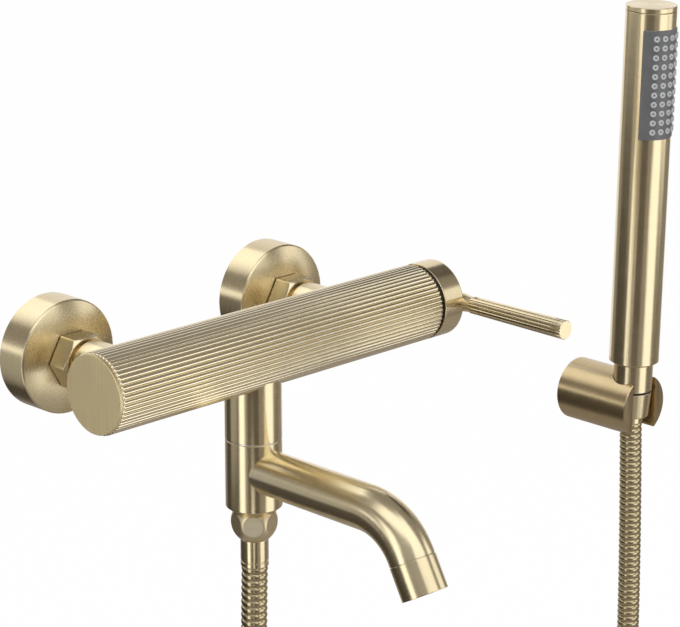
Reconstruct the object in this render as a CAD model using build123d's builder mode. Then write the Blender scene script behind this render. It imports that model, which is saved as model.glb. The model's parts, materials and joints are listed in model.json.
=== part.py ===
from build123d import *
import os
from math import atan, cos, degrees, pi, radians, sin, sqrt, tan

# Wall-mounted bath tap with a turning spout, a side lever, a wall holder and a hand shower on its hose.
# Millimetres. The origin is midway between the two inlets on the wall; the wall is the plane Y = 0,
# the tap stands out toward -Y, +X is to the right and +Z is up.

# Wall connections
inlet_spacing = 150.0
stud_radius = 10.48
stud_length = 18.0
union_radius = 12.0
union_bore = 6.5
union_face = 26.5
collar_across_flats = 27.0
collar_start = 3.0
collar_thickness = 7.0
plate_radius = 29.9
plate_depth = 18.4
plate_crown = 3.0
plate_wall = 1.2
plate_edge = 0.7
nut_across_flats = 27.0
nut_start = 22.0
nut_length = 12.0
nut_lip = 2.5
washer_thickness = 2.0
strainer_depth = 9.0
tail_radius = 12.8
tail_bore = 6.0
tail_collar = 2.9
tail_neck_radius = 9.7
tail_shoulder = 2.0
tail_spigot = 3.0

# Body of the mixer
body_reach = 75.0
body_radius = 21.0
body_left = -104.0
body_right = 120.6
ridge_count = 52
ridge_radius = 1.33
tail_seat = 14.0
column_seat = 14.5
gallery_radius = 4.5
hot_offset = (6.0, 7.0)
cold_offset = (6.0, -7.0)
mixed_offset = (-8.0, 0.0)
inlet_bore = 6.0
end_disc_radius = 20.3
end_disc_thickness = 2.5
end_spigot_radius = 9.0
end_spigot_length = 6.0
seat_gap = 0.05

# Cartridge
chamber_radius = 18.0
chamber_depth = 32.6
gasket_thickness = 1.2
base_thickness = 3.4
housing_radius = 17.3
housing_bore = 15.5
housing_neck_radius = 12.0
housing_neck_length = 4.5
housing_roof = 2.7
port_radius = 3.5
disc_thickness = 3.4
disc_gap = 0.1
moving_disc_radius = 10.5
moving_disc_thickness = 3.3
pocket_radius = 4.0
pocket_depth = 2.2
carrier_radius = 15.2
carrier_neck_radius = 8.8
carrier_gap = 0.2
neck_gap = 0.3
slot_width = 7.0
spindle_radius = 3.2
pin_radius = 1.5
pin_run = 0.03
pivot_x = 113.0
cartridge_nut_thickness = 5.0
lever_tilt_range = 18.0

# Lever
cap_gap = 2.2
cap_radius = 21.0
cap_side = 13.8
cap_dome = 8.7
cap_cavity_radius = 18.0
cap_cavity_depth = 10.2
cap_boss_radius = 8.0
cap_boss_start = 4.2
ring_flange_radius = 19.8
ring_flange_thickness = 1.2
ring_spigot_length = 2.4
ring_wall = 2.4
lever_x = 139.5
lever_neck_start = 13.0
lever_neck_base = 5.0
lever_neck_tip = 4.0
lever_neck_end = 25.5
lever_stick_end = 91.3
stick_radius = 4.7
stick_end_radius = 5.2
stick_flutes = 16
flute_radius = 0.55
lever_stud_radius = 3.0
stick_stud_radius = 2.4
stick_stud_length = 10.0
grub_offset = 2.6
grub_radius = 1.4

# Outlet column and turning spout
column_radius = 14.95
column_bottom = -47.2
column_bore = 7.0
seam_ring_radius = 14.5
seam_ring_thickness = 0.5
seam_chamfer = 0.4
core_radius = 10.9
core_thread_length = 12.0
core_thread_radius = 10.4
core_bore = 5.5
hub_radius = 14.9
hub_run = 0.1
hub_bottom = -87.0
hub_chamfer = 3.0
spout_z = -64.2
spout_radius = 11.9
spout_wall = 1.5
spout_port = 7.0
core_port = 4.0
bend_y = -158.0
bend_radius = 35.0
bend_angle = 60.7
bend_tail = 1.5
sleeve_length = 18.2
sleeve_radius = 12.05
sleeve_wall = 1.5
sleeve_spigot = 1.3
sleeve_shoulder = 1.5
insert_length = 9.0
insert_recess = 0.8
insert_hole_radius = 1.15
insert_pitch = 3.3
aerator_washer = 1.6
ring_section = 0.65
nipple_flange_radius = 11.6
nipple_flange = 0.9
nipple_spigot_radius = 7.5
nipple_spigot_length = 9.0
nipple_thread_radius = 9.9
nipple_length = 8.5
turn_gap = 0.06

# Shower hose and its nuts
hose_nut_across_flats = 22.0
hose_nut_sphere = 12.3
hose_nut_length = 15.0
hose_washer = 1.6
ferrule_collar_radius = 9.2
ferrule_neck_radius = 6.4
ferrule_gap = 0.15
ferrule_radius = 7.4
ferrule_length = 15.4
hose_radius = 7.0
hose_valley = 6.3
hose_bore = 4.2
rib_pitch = 3.6
ribs_at_tap = 11
ribs_at_handset = 38
coil_radius = 78.0
coil_pitch = 15.0
coil_turns = 1.25
coil_z = -422.0
tie_width = 10.0
tie_thickness = 1.2
tie_play = 0.3

# Wall holder
holder_x = 349.7
holder_z = -119.0
holder_radius = 19.5
holder_length = 54.0
holder_hole_y = -44.2
holder_hole_radius = 12.5
holder_ledge_radius = 9.9
seat_play = 0.15
holder_slot = 22.0
holder_lean = 1.2
holder_edge = 0.5
base_radius = 17.2
holder_base_thickness = 11.5
base_gap = 0.1
screw_spacing = 14.0
screw_radius = 2.2
screw_head_radius = 4.2
screw_length = 16.0
screw_shank_step = 0.2
screw_shank_proud = 0.4
screw_head_depth = 5.0
holder_grub_length = 1.7

# Hand shower, heights measured along its own axis from the middle of the holder
tube_bottom = 28.5
top_land = 12.7
tube_radius = 15.45
tube_wall = 1.5
top_cap_thickness = 3.0
top_cap_groove = 0.3
connector_radius = 12.15
connector_bottom = 5.4
connector_plug = 9.0
ring_height = 1.0
cone_top_radius = 12.0
cone_bottom_radius = 10.6
cone_length = 11.8
spray_bottom = 168.2
spray_top = 235.3
tube_top = spray_top + top_land
spray_half_angle = 68.0
spray_turn = -3.0
spray_proud = 0.5
spray_thickness = 1.7
nozzle_row_pitch = 5.7
nozzle_end_land = 4.3
nozzle_first = spray_bottom + nozzle_end_land
nozzle_rows = 1 + int((spray_top - spray_bottom - 2 * nozzle_end_land) / nozzle_row_pitch)
nozzle_columns = 5
nozzle_column_step = 20.0
nozzle_radius = 1.35
nozzle_height = 0.7
nozzle_gap = 0.1
mat_thickness = 1.1
chamber_gap = 0.3

os.makedirs("parts", exist_ok=True)


def keep(piece, label):
    """Label a finished piece and write its STEP file."""
    piece.part.label = label
    export_step(piece.part, f"parts/{label}.step")


# Planes and axes. Every turned piece is drawn as half a section beside its axis.
body_y = -body_reach
body_side = Plane((0, body_y, 0))
body_axis = Axis((0, body_y, 0), (1, 0, 0))
column_side = Plane((0, body_y, 0), x_dir=(1, 0, 0), z_dir=(0, -1, 0))
column_axis = Axis((0, body_y, 0), (0, 0, 1))


def across(x, radius_y=0.0, radius_z=0.0):
    """The plane square to the body's axis at x, its own x toward the wall."""
    return Plane((x, body_y + radius_y, radius_z), x_dir=(0, 1, 0), z_dir=(1, 0, 0))


# Wall unions, plates, nuts and tails, one of each at both inlets
nut_end = nut_start + nut_length
collar_back = nut_end - nut_lip
washer_front = union_face + washer_thickness
tail_end = body_reach - tail_seat
for side, x in (("left", -inlet_spacing / 2), ("right", inlet_spacing / 2)):
    inlet_side = Plane((x, 0, 0))
    inlet_axis = Axis((x, 0, 0), (0, 1, 0))
    inlet_front = Plane((x, 0, 0), x_dir=(1, 0, 0), z_dir=(0, -1, 0))

    # Straight union: the stud goes into the pipe in the wall, the long thread takes the nut
    with BuildPart() as wall_union:
        with BuildSketch(inlet_side):
            Polygon(
                (union_bore, stud_length),
                (stud_radius - 0.8, stud_length),
                (stud_radius, stud_length - 0.8),
                (stud_radius, 0),
                (union_radius, 0),
                (union_radius, -union_face),
                (union_bore, -union_face),
                align=None,
            )
        revolve(axis=inlet_axis)
        with BuildSketch(inlet_front.offset(collar_start)):
            RegularPolygon(collar_across_flats / 2, 6, major_radius=False, rotation=90)
            Circle(union_radius - 0.5, mode=Mode.SUBTRACT)
        extrude(amount=collar_thickness)
    keep(wall_union, f"wall_union_{side}")

    # Round wall plate, a hollow turned shell with a slightly crowned face
    face_hole = union_radius + seat_gap
    with BuildPart() as escutcheon:
        with BuildSketch(inlet_side):
            with BuildLine():
                rim = Line((plate_radius, 0), (plate_radius, -plate_depth + plate_edge))
                edge = Line(rim @ 1, (plate_radius - plate_edge, -plate_depth))
                crown = ThreePointArc(
                    edge @ 1,
                    ((plate_radius + face_hole) / 2, -plate_depth - plate_crown * 0.72),
                    (face_hole, -plate_depth - plate_crown),
                )
                hole = Line(crown @ 1, (face_hole, -plate_depth - plate_crown + plate_wall))
                inside = Line(hole @ 1, (plate_radius - plate_wall, -plate_depth + plate_wall))
                wall = Line(inside @ 1, (plate_radius - plate_wall, 0))
                Line(wall @ 1, rim @ 0)
            make_face()
        revolve(axis=inlet_axis)
    keep(escutcheon, f"escutcheon_{side}")

    # Filter in the mouth of the union
    with BuildPart() as inlet_strainer:
        with BuildSketch(inlet_side):
            Polygon(
                (union_bore - 1.2, stud_length),
                (union_bore, stud_length),
                (union_bore, stud_length - strainer_depth),
                (0, stud_length - strainer_depth),
                (0, stud_length - strainer_depth + 1.2),
                (union_bore - 1.2, stud_length - strainer_depth + 1.2),
                align=None,
            )
        revolve(axis=inlet_axis)
        with BuildSketch(inlet_front.offset(-stud_length + strainer_depth)):
            with GridLocations(2.6, 2.6, 3, 3):
                Rectangle(1.4, 1.4)
        extrude(amount=-2 * strainer_depth, mode=Mode.SUBTRACT)
    keep(inlet_strainer, f"inlet_strainer_{side}")

    # Flat sealing washer between the union and the tail
    with BuildPart() as inlet_washer:
        with BuildSketch(inlet_front.offset(union_face)):
            Circle(union_radius - 0.4)
            Circle(union_bore, mode=Mode.SUBTRACT)
        extrude(amount=washer_thickness)
    keep(inlet_washer, f"inlet_washer_{side}")

    # Hexagon nut, one corner up, its front corners turned off
    with BuildPart() as union_nut:
        with BuildSketch(inlet_front.offset(nut_start)):
            RegularPolygon(nut_across_flats / 2, 6, major_radius=False, rotation=90)
        extrude(amount=nut_length)
        corner = nut_across_flats / sqrt(3)
        with BuildSketch(inlet_side):
            Polygon(
                (0, -nut_start),
                (corner, -nut_start),
                (corner, -nut_end + 1.3),
                (nut_across_flats / 2 - 0.1, -nut_end),
                (0, -nut_end),
                align=None,
            )
        revolve(axis=inlet_axis, mode=Mode.INTERSECT)
        with BuildSketch(inlet_side):
            Polygon(
                (0, -nut_start),
                (union_radius, -nut_start),
                (union_radius, -collar_back),
                (tail_neck_radius + 0.3, -collar_back),
                (tail_neck_radius + 0.3, -nut_end),
                (0, -nut_end),
                align=None,
            )
        revolve(axis=inlet_axis, mode=Mode.SUBTRACT)
    keep(union_nut, f"union_nut_{side}")

    # Tail from the nut to the body, with its collar, neck and rounded shoulder
    with BuildPart() as inlet_tail:
        with BuildSketch(inlet_side):
            with BuildLine():
                start = Polyline(
                    (tail_bore, -washer_front),
                    (union_radius - 0.4, -washer_front),
                    (union_radius - 0.4, -washer_front - tail_collar),
                    (tail_neck_radius, -washer_front - tail_collar),
                    (tail_neck_radius, -nut_end - tail_shoulder),
                    (tail_radius - 1.5, -nut_end - tail_shoulder),
                )
                round_shoulder = RadiusArc(
                    start @ 1, (tail_radius, -nut_end - tail_shoulder - 1.5), 1.5
                )
                Polyline(
                    round_shoulder @ 1,
                    (tail_radius, -tail_end),
                    (tail_neck_radius - 0.7, -tail_end),
                    (tail_neck_radius - 0.7, -tail_end - tail_spigot),
                    (tail_bore, -tail_end - tail_spigot),
                    start @ 0,
                )
            make_face()
        revolve(axis=inlet_axis)
    keep(inlet_tail, f"inlet_tail_{side}")

# Body: a round bar with rounded ridges along its whole length, drilled from the right-hand end
chamber_floor = body_right - chamber_depth
with BuildPart() as mixer_body:
    with BuildSketch(across(body_left)):
        Circle(body_radius - 0.8)
        with PolarLocations(body_radius - ridge_radius, ridge_count):
            Circle(ridge_radius)
    extrude(amount=body_right - body_left)
    # Chamber for the cartridge
    with BuildSketch(across(body_right)):
        Circle(chamber_radius)
    extrude(amount=-chamber_depth, mode=Mode.SUBTRACT)
    # Hot, cold and mixed galleries, drilled from the chamber's floor
    galleries = (
        (hot_offset, -inlet_spacing / 2 - gallery_radius),
        (cold_offset, inlet_spacing / 2 - inlet_bore),
        (mixed_offset, -gallery_radius),
    )
    for offset_yz, gallery_end in galleries:
        with BuildSketch(across(chamber_floor)):
            with Locations(offset_yz):
                Circle(gallery_radius)
        extrude(amount=gallery_end - chamber_floor, mode=Mode.SUBTRACT)
    # Flat seats and bores for the two tails
    with BuildSketch(Plane((0, -tail_end, 0), x_dir=(1, 0, 0), z_dir=(0, 1, 0))):
        with GridLocations(inlet_spacing, 1, 2, 1):
            Circle(tail_radius + seat_gap)
    extrude(amount=body_radius, mode=Mode.SUBTRACT)
    with BuildSketch(Plane((0, -tail_end, 0), x_dir=(1, 0, 0), z_dir=(0, -1, 0))):
        with GridLocations(inlet_spacing, 1, 2, 1):
            Circle(tail_neck_radius - 0.7 + seat_gap)
    extrude(amount=tail_spigot + seat_gap, mode=Mode.SUBTRACT)
    with BuildSketch(Plane((0, -tail_end, 0), x_dir=(1, 0, 0), z_dir=(0, -1, 0))):
        with GridLocations(inlet_spacing, 1, 2, 1):
            Circle(inlet_bore)
    extrude(amount=tail_seat - hot_offset[0], mode=Mode.SUBTRACT)
    # Flat seat, socket and bore for the outlet column
    with BuildSketch(Plane((0, body_y, -column_seat))):
        Circle(column_radius + seat_gap)
    extrude(amount=-body_radius, mode=Mode.SUBTRACT)
    with BuildSketch(Plane((0, body_y, -column_seat))):
        Circle(column_bore + 2 + seat_gap)
    extrude(amount=4 + seat_gap, mode=Mode.SUBTRACT)
    with BuildSketch(Plane((0, body_y, -column_seat))):
        Circle(column_bore - 1)
    extrude(amount=column_seat, mode=Mode.SUBTRACT)
    # Socket for the end disc
    with BuildSketch(across(body_left)):
        Circle(end_spigot_radius + seat_gap)
    extrude(amount=end_spigot_length + 0.5, mode=Mode.SUBTRACT)
keep(mixer_body, "mixer_body")

# Flat disc that closes the left-hand end
with BuildPart() as end_disc:
    with BuildSketch(body_side):
        Polygon(
            (body_left - end_disc_thickness, 0),
            (body_left - end_disc_thickness, end_disc_radius - 0.3),
            (body_left - end_disc_thickness + 0.3, end_disc_radius),
            (body_left, end_disc_radius),
            (body_left, end_spigot_radius),
            (body_left + end_spigot_length, end_spigot_radius),
            (body_left + end_spigot_length, 0),
            align=None,
        )
    revolve(axis=body_axis)
keep(end_disc, "end_disc")

# Cartridge, stacked from the floor of the chamber outward
base_x = chamber_floor + gasket_thickness
fixed_disc_x = base_x + base_thickness
moving_disc_x = fixed_disc_x + disc_thickness + disc_gap
carrier_x = moving_disc_x + moving_disc_thickness + carrier_gap
roof_x = pivot_x - 1.0 - housing_roof
housing_top = roof_x + housing_roof
ports = (hot_offset, cold_offset, mixed_offset)

with BuildPart() as cartridge_seals:
    with BuildSketch(across(chamber_floor)):
        with Locations(*ports):
            Circle(gallery_radius + 1.3)
        with Locations(*ports):
            Circle(gallery_radius, mode=Mode.SUBTRACT)
    extrude(amount=gasket_thickness)
keep(cartridge_seals, "cartridge_seals")

with BuildPart() as cartridge_base:
    with BuildSketch(across(base_x)):
        Circle(housing_radius)
        with Locations(*ports):
            Circle(port_radius + 0.6, mode=Mode.SUBTRACT)
    extrude(amount=base_thickness)
keep(cartridge_base, "cartridge_base")

with BuildPart() as cartridge_housing:
    with BuildSketch(body_side):
        Polygon(
            (fixed_disc_x, housing_bore),
            (fixed_disc_x, housing_radius),
            (housing_top, housing_radius),
            (housing_top, housing_neck_radius),
            (housing_top + housing_neck_length, housing_neck_radius),
            (housing_top + housing_neck_length, carrier_neck_radius + neck_gap),
            (roof_x, carrier_neck_radius + neck_gap),
            (roof_x, housing_bore),
            align=None,
        )
    revolve(axis=body_axis)
keep(cartridge_housing, "cartridge_housing")

with BuildPart() as ceramic_disc_fixed:
    with BuildSketch(across(fixed_disc_x)):
        Circle(housing_bore - 0.1)
        with Locations(*ports):
            Circle(port_radius, mode=Mode.SUBTRACT)
    extrude(amount=disc_thickness)
keep(ceramic_disc_fixed, "ceramic_disc_fixed")

# The moving disc has a channel below, joining the ports it uncovers, and the spindle's pocket above
with BuildPart() as ceramic_disc_moving:
    with BuildSketch(across(moving_disc_x)):
        Circle(moving_disc_radius)
    extrude(amount=moving_disc_thickness)
    with BuildSketch(across(moving_disc_x + moving_disc_thickness)):
        Circle(pocket_radius)
    extrude(amount=-pocket_depth, mode=Mode.SUBTRACT)
    with BuildSketch(across(moving_disc_x)):
        with Locations((-6.5, 0)):
            SlotOverall(11.0, 5.0, rotation=90)
    extrude(amount=0.9, mode=Mode.SUBTRACT)
keep(ceramic_disc_moving, "ceramic_disc_moving")

# The carrier turns in the housing and holds the pin that the spindle tilts on
tilt = radians(lever_tilt_range)
neck_top = housing_top + housing_neck_length - 0.2
swing_below = (pivot_x - carrier_x) * tan(tilt) + spindle_radius / cos(tilt)
swing_neck = (pivot_x - roof_x) * tan(tilt) + spindle_radius / cos(tilt)
with BuildPart() as cartridge_carrier:
    with BuildSketch(across(carrier_x)):
        Circle(carrier_radius)
    extrude(amount=roof_x - neck_gap - carrier_x)
    with BuildSketch(across(roof_x - neck_gap)):
        Circle(carrier_neck_radius)
    extrude(amount=neck_top - roof_x + neck_gap)
    with BuildSketch(across(carrier_x)):
        with Locations(((3.9 - swing_below - 0.3) / 2, 0)):
            Rectangle(3.9 + swing_below + 0.3, slot_width)
    extrude(amount=roof_x - 1.0 - carrier_x, mode=Mode.SUBTRACT)
    with BuildSketch(across(roof_x - 1.0)):
        Rectangle(2 * swing_neck + 0.8, slot_width)
    extrude(amount=neck_top - roof_x + 1.0, mode=Mode.SUBTRACT)
    with BuildSketch(Plane((pivot_x, body_y, -carrier_neck_radius - 1))):
        Circle(pin_radius)
    extrude(amount=2 * carrier_neck_radius + 2, mode=Mode.SUBTRACT)
keep(cartridge_carrier, "cartridge_carrier")

pin_half = carrier_neck_radius - 0.3
with BuildPart() as carrier_pin:
    with BuildSketch(Plane((pivot_x, body_y, -pin_half))):
        Circle(pin_radius)
    extrude(amount=2 * pin_half)
keep(carrier_pin, "carrier_pin")

# Spindle with a round tip in the moving disc's pocket
cap_x = body_right + cap_gap
cap_end = cap_x + cap_side + cap_dome
tip_centre = carrier_x + 1.6
spindle_top = cap_end - 2.5
with BuildPart() as lever_spindle:
    with BuildSketch(body_side):
        with BuildLine():
            tip = RadiusArc(
                (tip_centre - spindle_radius, 0), (tip_centre, spindle_radius), spindle_radius
            )
            Polyline(
                tip @ 1,
                (spindle_top - 0.5, spindle_radius),
                (spindle_top, spindle_radius - 0.5),
                (spindle_top, 0),
                tip @ 0,
            )
        make_face()
    revolve(axis=body_axis)
    with BuildSketch(Plane((pivot_x, body_y, -10))):
        Circle(pin_radius + pin_run)
    extrude(amount=20, mode=Mode.SUBTRACT)
keep(lever_spindle, "lever_spindle")

# Threaded ring that holds the cartridge down
with BuildPart() as cartridge_nut:
    with BuildSketch(across(housing_top)):
        Circle(chamber_radius)
        Circle(housing_neck_radius + 0.2, mode=Mode.SUBTRACT)
    extrude(amount=cartridge_nut_thickness)
    with BuildSketch(across(housing_top + cartridge_nut_thickness)):
        with PolarLocations(chamber_radius - 2.2, 6):
            Circle(1.3)
    extrude(amount=-2.5, mode=Mode.SUBTRACT)
keep(cartridge_nut, "cartridge_nut")

# The back of the cap is relieved on the wall side, so that it clears the body when the lever tilts
relief = Plane(
    (cap_x - ring_flange_thickness, body_y, 0),
    x_dir=(0, 0, 1),
    z_dir=(cos(tilt), -sin(tilt), 0),
)
dome_radius = (cap_radius**2 + cap_dome**2) / (2 * cap_dome)
dome_slope = (cap_end - dome_radius) - lever_x
with BuildPart() as lever_cap:
    with BuildSketch(body_side):
        with BuildLine():
            flank = Polyline(
                (cap_x + cap_cavity_depth, 0),
                (cap_x + cap_cavity_depth, cap_cavity_radius),
                (cap_x, cap_cavity_radius),
                (cap_x, cap_radius - 0.3),
                (cap_x + 0.3, cap_radius),
                (cap_x + cap_side, cap_radius),
            )
            dome = ThreePointArc(
                flank @ 1,
                (
                    cap_end - dome_radius + dome_radius * cos(0.4),
                    dome_radius * sin(0.4),
                ),
                (cap_end, 0),
            )
            Line(dome @ 1, flank @ 0)
        make_face()
    revolve(axis=body_axis)
    with BuildSketch(across(cap_x + cap_boss_start)):
        Circle(cap_boss_radius)
    extrude(amount=cap_cavity_depth - cap_boss_start)
    with BuildSketch(across(cap_x)):
        Circle(spindle_radius)
    extrude(amount=spindle_top - cap_x, mode=Mode.SUBTRACT)
    with BuildSketch(Plane((lever_x, body_y - lever_neck_start, 0), x_dir=(1, 0, 0), z_dir=(0, -1, 0))):
        Circle(lever_neck_base)
    extrude(amount=cap_radius, mode=Mode.SUBTRACT)
    with BuildSketch(Plane((lever_x, body_y, 0), x_dir=(1, 0, 0), z_dir=(0, -1, 0))):
        Circle(lever_stud_radius)
    extrude(amount=lever_neck_start, mode=Mode.SUBTRACT)
    split(bisect_by=relief, keep=Keep.TOP)
keep(lever_cap, "lever_cap")

# Black ring that fills the gap behind the cap
with BuildPart() as trim_ring:
    with BuildSketch(body_side):
        Polygon(
            (cap_x - ring_flange_thickness, cap_cavity_radius - ring_wall),
            (cap_x - ring_flange_thickness, ring_flange_radius),
            (cap_x, ring_flange_radius),
            (cap_x, cap_cavity_radius),
            (cap_x + ring_spigot_length, cap_cavity_radius),
            (cap_x + ring_spigot_length, cap_cavity_radius - ring_wall),
            align=None,
        )
    revolve(axis=body_axis)
    split(bisect_by=relief, keep=Keep.TOP)
keep(trim_ring, "trim_ring")

# Lever: smooth conical neck with a stud at each end, then the fluted stick
lever_side = Plane((lever_x, body_y, 0))
lever_axis = Axis((lever_x, body_y, 0), (0, 1, 0))
with BuildPart() as lever_neck:
    with BuildSketch(lever_side):
        Polygon(
            (0, -spindle_radius),
            (lever_stud_radius, -spindle_radius),
            (lever_stud_radius, -lever_neck_start),
            (lever_neck_base, -lever_neck_start),
            (lever_neck_base, -lever_neck_start - 5.0),
            (lever_neck_tip, -lever_neck_end),
            (stick_stud_radius, -lever_neck_end),
            (stick_stud_radius, -lever_neck_end - stick_stud_length),
            (0, -lever_neck_end - stick_stud_length),
            align=None,
        )
    revolve(axis=lever_axis)
    # The stud's end is hollowed to sit on the round spindle
    with BuildSketch(across(lever_x - 10)):
        Circle(spindle_radius)
    extrude(amount=20, mode=Mode.SUBTRACT)
keep(lever_neck, "lever_neck")

stick_length = lever_stick_end - lever_neck_end
stick_taper = -degrees(atan((stick_end_radius - stick_radius) / stick_length))
stick_start = Plane(
    (lever_x, body_y - lever_neck_end, 0), x_dir=(1, 0, 0), z_dir=(0, -1, 0)
)
grub_depth = lever_neck_end + grub_offset
with BuildPart() as lever_stick:
    with BuildSketch(stick_start):
        Circle(stick_radius)
        with PolarLocations(stick_radius + flute_radius * 0.35, stick_flutes):
            Circle(flute_radius, mode=Mode.SUBTRACT)
    with BuildSketch(stick_start.offset(stick_length)):
        Circle(stick_end_radius)
        with PolarLocations(stick_end_radius + flute_radius * 0.35, stick_flutes):
            Circle(flute_radius, mode=Mode.SUBTRACT)
    loft(ruled=True)
    with BuildSketch(stick_start):
        Circle(stick_stud_radius)
    extrude(amount=stick_stud_length, mode=Mode.SUBTRACT)
    with BuildSketch(Plane((lever_x, body_y - grub_depth, 0))):
        Circle(grub_radius)
    extrude(amount=stick_end_radius + 1, mode=Mode.SUBTRACT)
keep(lever_stick, "lever_stick")

with BuildPart() as lever_grub_screw:
    with BuildSketch(Plane((lever_x, body_y - grub_depth, stick_stud_radius))):
        Circle(grub_radius)
    extrude(amount=1.5)
    with BuildSketch(Plane((lever_x, body_y - grub_depth, stick_stud_radius + 1.5))):
        RegularPolygon(0.65, 6, major_radius=False)
    extrude(amount=-1.0, mode=Mode.SUBTRACT)
keep(lever_grub_screw, "lever_grub_screw")

# Column below the body, threaded inside for the core of the spout
core_top = column_bottom + core_thread_length
with BuildPart() as outlet_column:
    with BuildSketch(column_side):
        Polygon(
            (column_bore - 1, -column_seat + 4),
            (column_bore + 2, -column_seat + 4),
            (column_bore + 2, -column_seat),
            (column_radius, -column_seat),
            (column_radius, column_bottom + seam_chamfer),
            (column_radius - seam_chamfer, column_bottom),
            (core_thread_radius, column_bottom),
            (core_thread_radius, core_top),
            (column_bore - 1, core_top),
            align=None,
        )
    revolve(axis=column_axis)
keep(outlet_column, "outlet_column")

# Thin bearing ring in the seam between the column and the hub
with BuildPart() as seam_ring:
    with BuildSketch(Plane((0, body_y, column_bottom))):
        Circle(seam_ring_radius)
        Circle(core_radius, mode=Mode.SUBTRACT)
    extrude(amount=-seam_ring_thickness)
keep(seam_ring, "seam_ring")

# Fixed core: the spout turns on it and draws its water from the port on the front
hub_top = column_bottom - seam_ring_thickness - turn_gap
groove_heights = (hub_top - 7.0, hub_bottom + 12.0)
with BuildPart() as spout_core:
    with BuildSketch(column_side):
        Polygon(
            (core_bore, core_top),
            (core_thread_radius, core_top),
            (core_thread_radius, column_bottom),
            (core_radius, column_bottom),
            (core_radius, hub_bottom - turn_gap),
            (nipple_spigot_radius, hub_bottom - turn_gap),
            (nipple_spigot_radius, hub_bottom - turn_gap + nipple_spigot_length),
            (core_bore, hub_bottom - turn_gap + nipple_spigot_length),
            align=None,
        )
    revolve(axis=column_axis)
    with BuildSketch(Plane((0, body_y, spout_z), x_dir=(1, 0, 0), z_dir=(0, -1, 0))):
        Circle(core_port)
    extrude(amount=core_radius + 1, mode=Mode.SUBTRACT)
    for height in groove_heights:
        with BuildSketch(column_side):
            with Locations((core_radius, height)):
                Rectangle(2.5, 2.5)
        revolve(axis=column_axis, mode=Mode.SUBTRACT)
keep(spout_core, "spout_core")

# The two sealing rings lie in the core's grooves
with BuildPart() as core_seals:
    for height in groove_heights:
        with BuildSketch(column_side):
            with Locations((core_radius - 1.25 + ring_section, height)):
                RegularPolygon(ring_section, 8)
        revolve(axis=column_axis)
keep(core_seals, "core_seals")

# Hub of the spout, bevelled at its lower end
with BuildPart() as spout_hub:
    with BuildSketch(column_side):
        Polygon(
            (core_radius + hub_run, hub_top),
            (hub_radius - seam_chamfer, hub_top),
            (hub_radius, hub_top - seam_chamfer),
            (hub_radius, hub_bottom + hub_chamfer * 0.8),
            (hub_radius - hub_chamfer, hub_bottom),
            (core_radius + hub_run, hub_bottom),
            align=None,
        )
    revolve(axis=column_axis)
    with BuildSketch(Plane((0, body_y, spout_z), x_dir=(1, 0, 0), z_dir=(0, -1, 0))):
        Circle(spout_port)
    extrude(amount=hub_radius + 1, mode=Mode.SUBTRACT)
keep(spout_hub, "spout_hub")

# Spout: a bent tube, saddled onto the hub
with BuildPart() as spout_tube:
    with BuildLine(Plane((0, 0, 0), x_dir=(0, 1, 0), z_dir=(1, 0, 0))) as spout_path:
        level = Line((body_y, spout_z), (bend_y, spout_z))
        bend = JernArc(level @ 1, (-1, 0), bend_radius, bend_angle)
        Line(bend @ 1, bend @ 1 + bend_tail * (bend % 1))
    with BuildSketch(Plane((0, body_y, spout_z), x_dir=(1, 0, 0), z_dir=(0, -1, 0))):
        Circle(spout_radius)
        Circle(spout_radius - spout_wall, mode=Mode.SUBTRACT)
    sweep(path=spout_path.line)
    with BuildSketch(Plane((0, body_y, spout_z - spout_radius - 5))):
        Circle(hub_radius)
    extrude(amount=2 * spout_radius + 10, mode=Mode.SUBTRACT)
keep(spout_tube, "spout_tube")

# Outlet sleeve with its jet former, on the line of the spout's end
seam_point = spout_path.line @ 1
flow = spout_path.line % 1
outlet = Plane(seam_point, x_dir=(1, 0, 0), z_dir=flow)
with BuildPart() as aerator_sleeve:
    with BuildSketch(outlet):
        Circle(sleeve_radius)
        Circle(sleeve_radius - sleeve_wall, mode=Mode.SUBTRACT)
    extrude(amount=sleeve_length)
    with BuildSketch(outlet):
        Circle(sleeve_radius - 0.5)
        Circle(spout_radius - spout_wall - 1.2, mode=Mode.SUBTRACT)
    extrude(amount=sleeve_shoulder)
    with BuildSketch(outlet.offset(-sleeve_spigot)):
        Circle(spout_radius - spout_wall)
        Circle(spout_radius - spout_wall - 1.2, mode=Mode.SUBTRACT)
    extrude(amount=sleeve_spigot + 0.5)
    chamfer(
        aerator_sleeve.edges()
        .filter_by(GeomType.CIRCLE)
        .group_by(SortBy.RADIUS)[-1],
        length=0.3,
    )
keep(aerator_sleeve, "aerator_sleeve")

insert_radius = sleeve_radius - sleeve_wall
insert_start = sleeve_length - insert_recess - insert_length
with BuildPart() as aerator_insert:
    with BuildSketch(outlet.offset(insert_start)):
        Circle(insert_radius)
        with HexLocations(insert_pitch / sqrt(3), 5, 5):
            RegularPolygon(insert_hole_radius, 6, mode=Mode.SUBTRACT)
    extrude(amount=insert_length)
keep(aerator_insert, "aerator_insert")

with BuildPart() as aerator_seal:
    with BuildSketch(outlet.offset(insert_start - aerator_washer)):
        Circle(insert_radius)
        Circle(insert_radius - 2.2, mode=Mode.SUBTRACT)
    extrude(amount=aerator_washer)
keep(aerator_seal, "aerator_seal")

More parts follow.
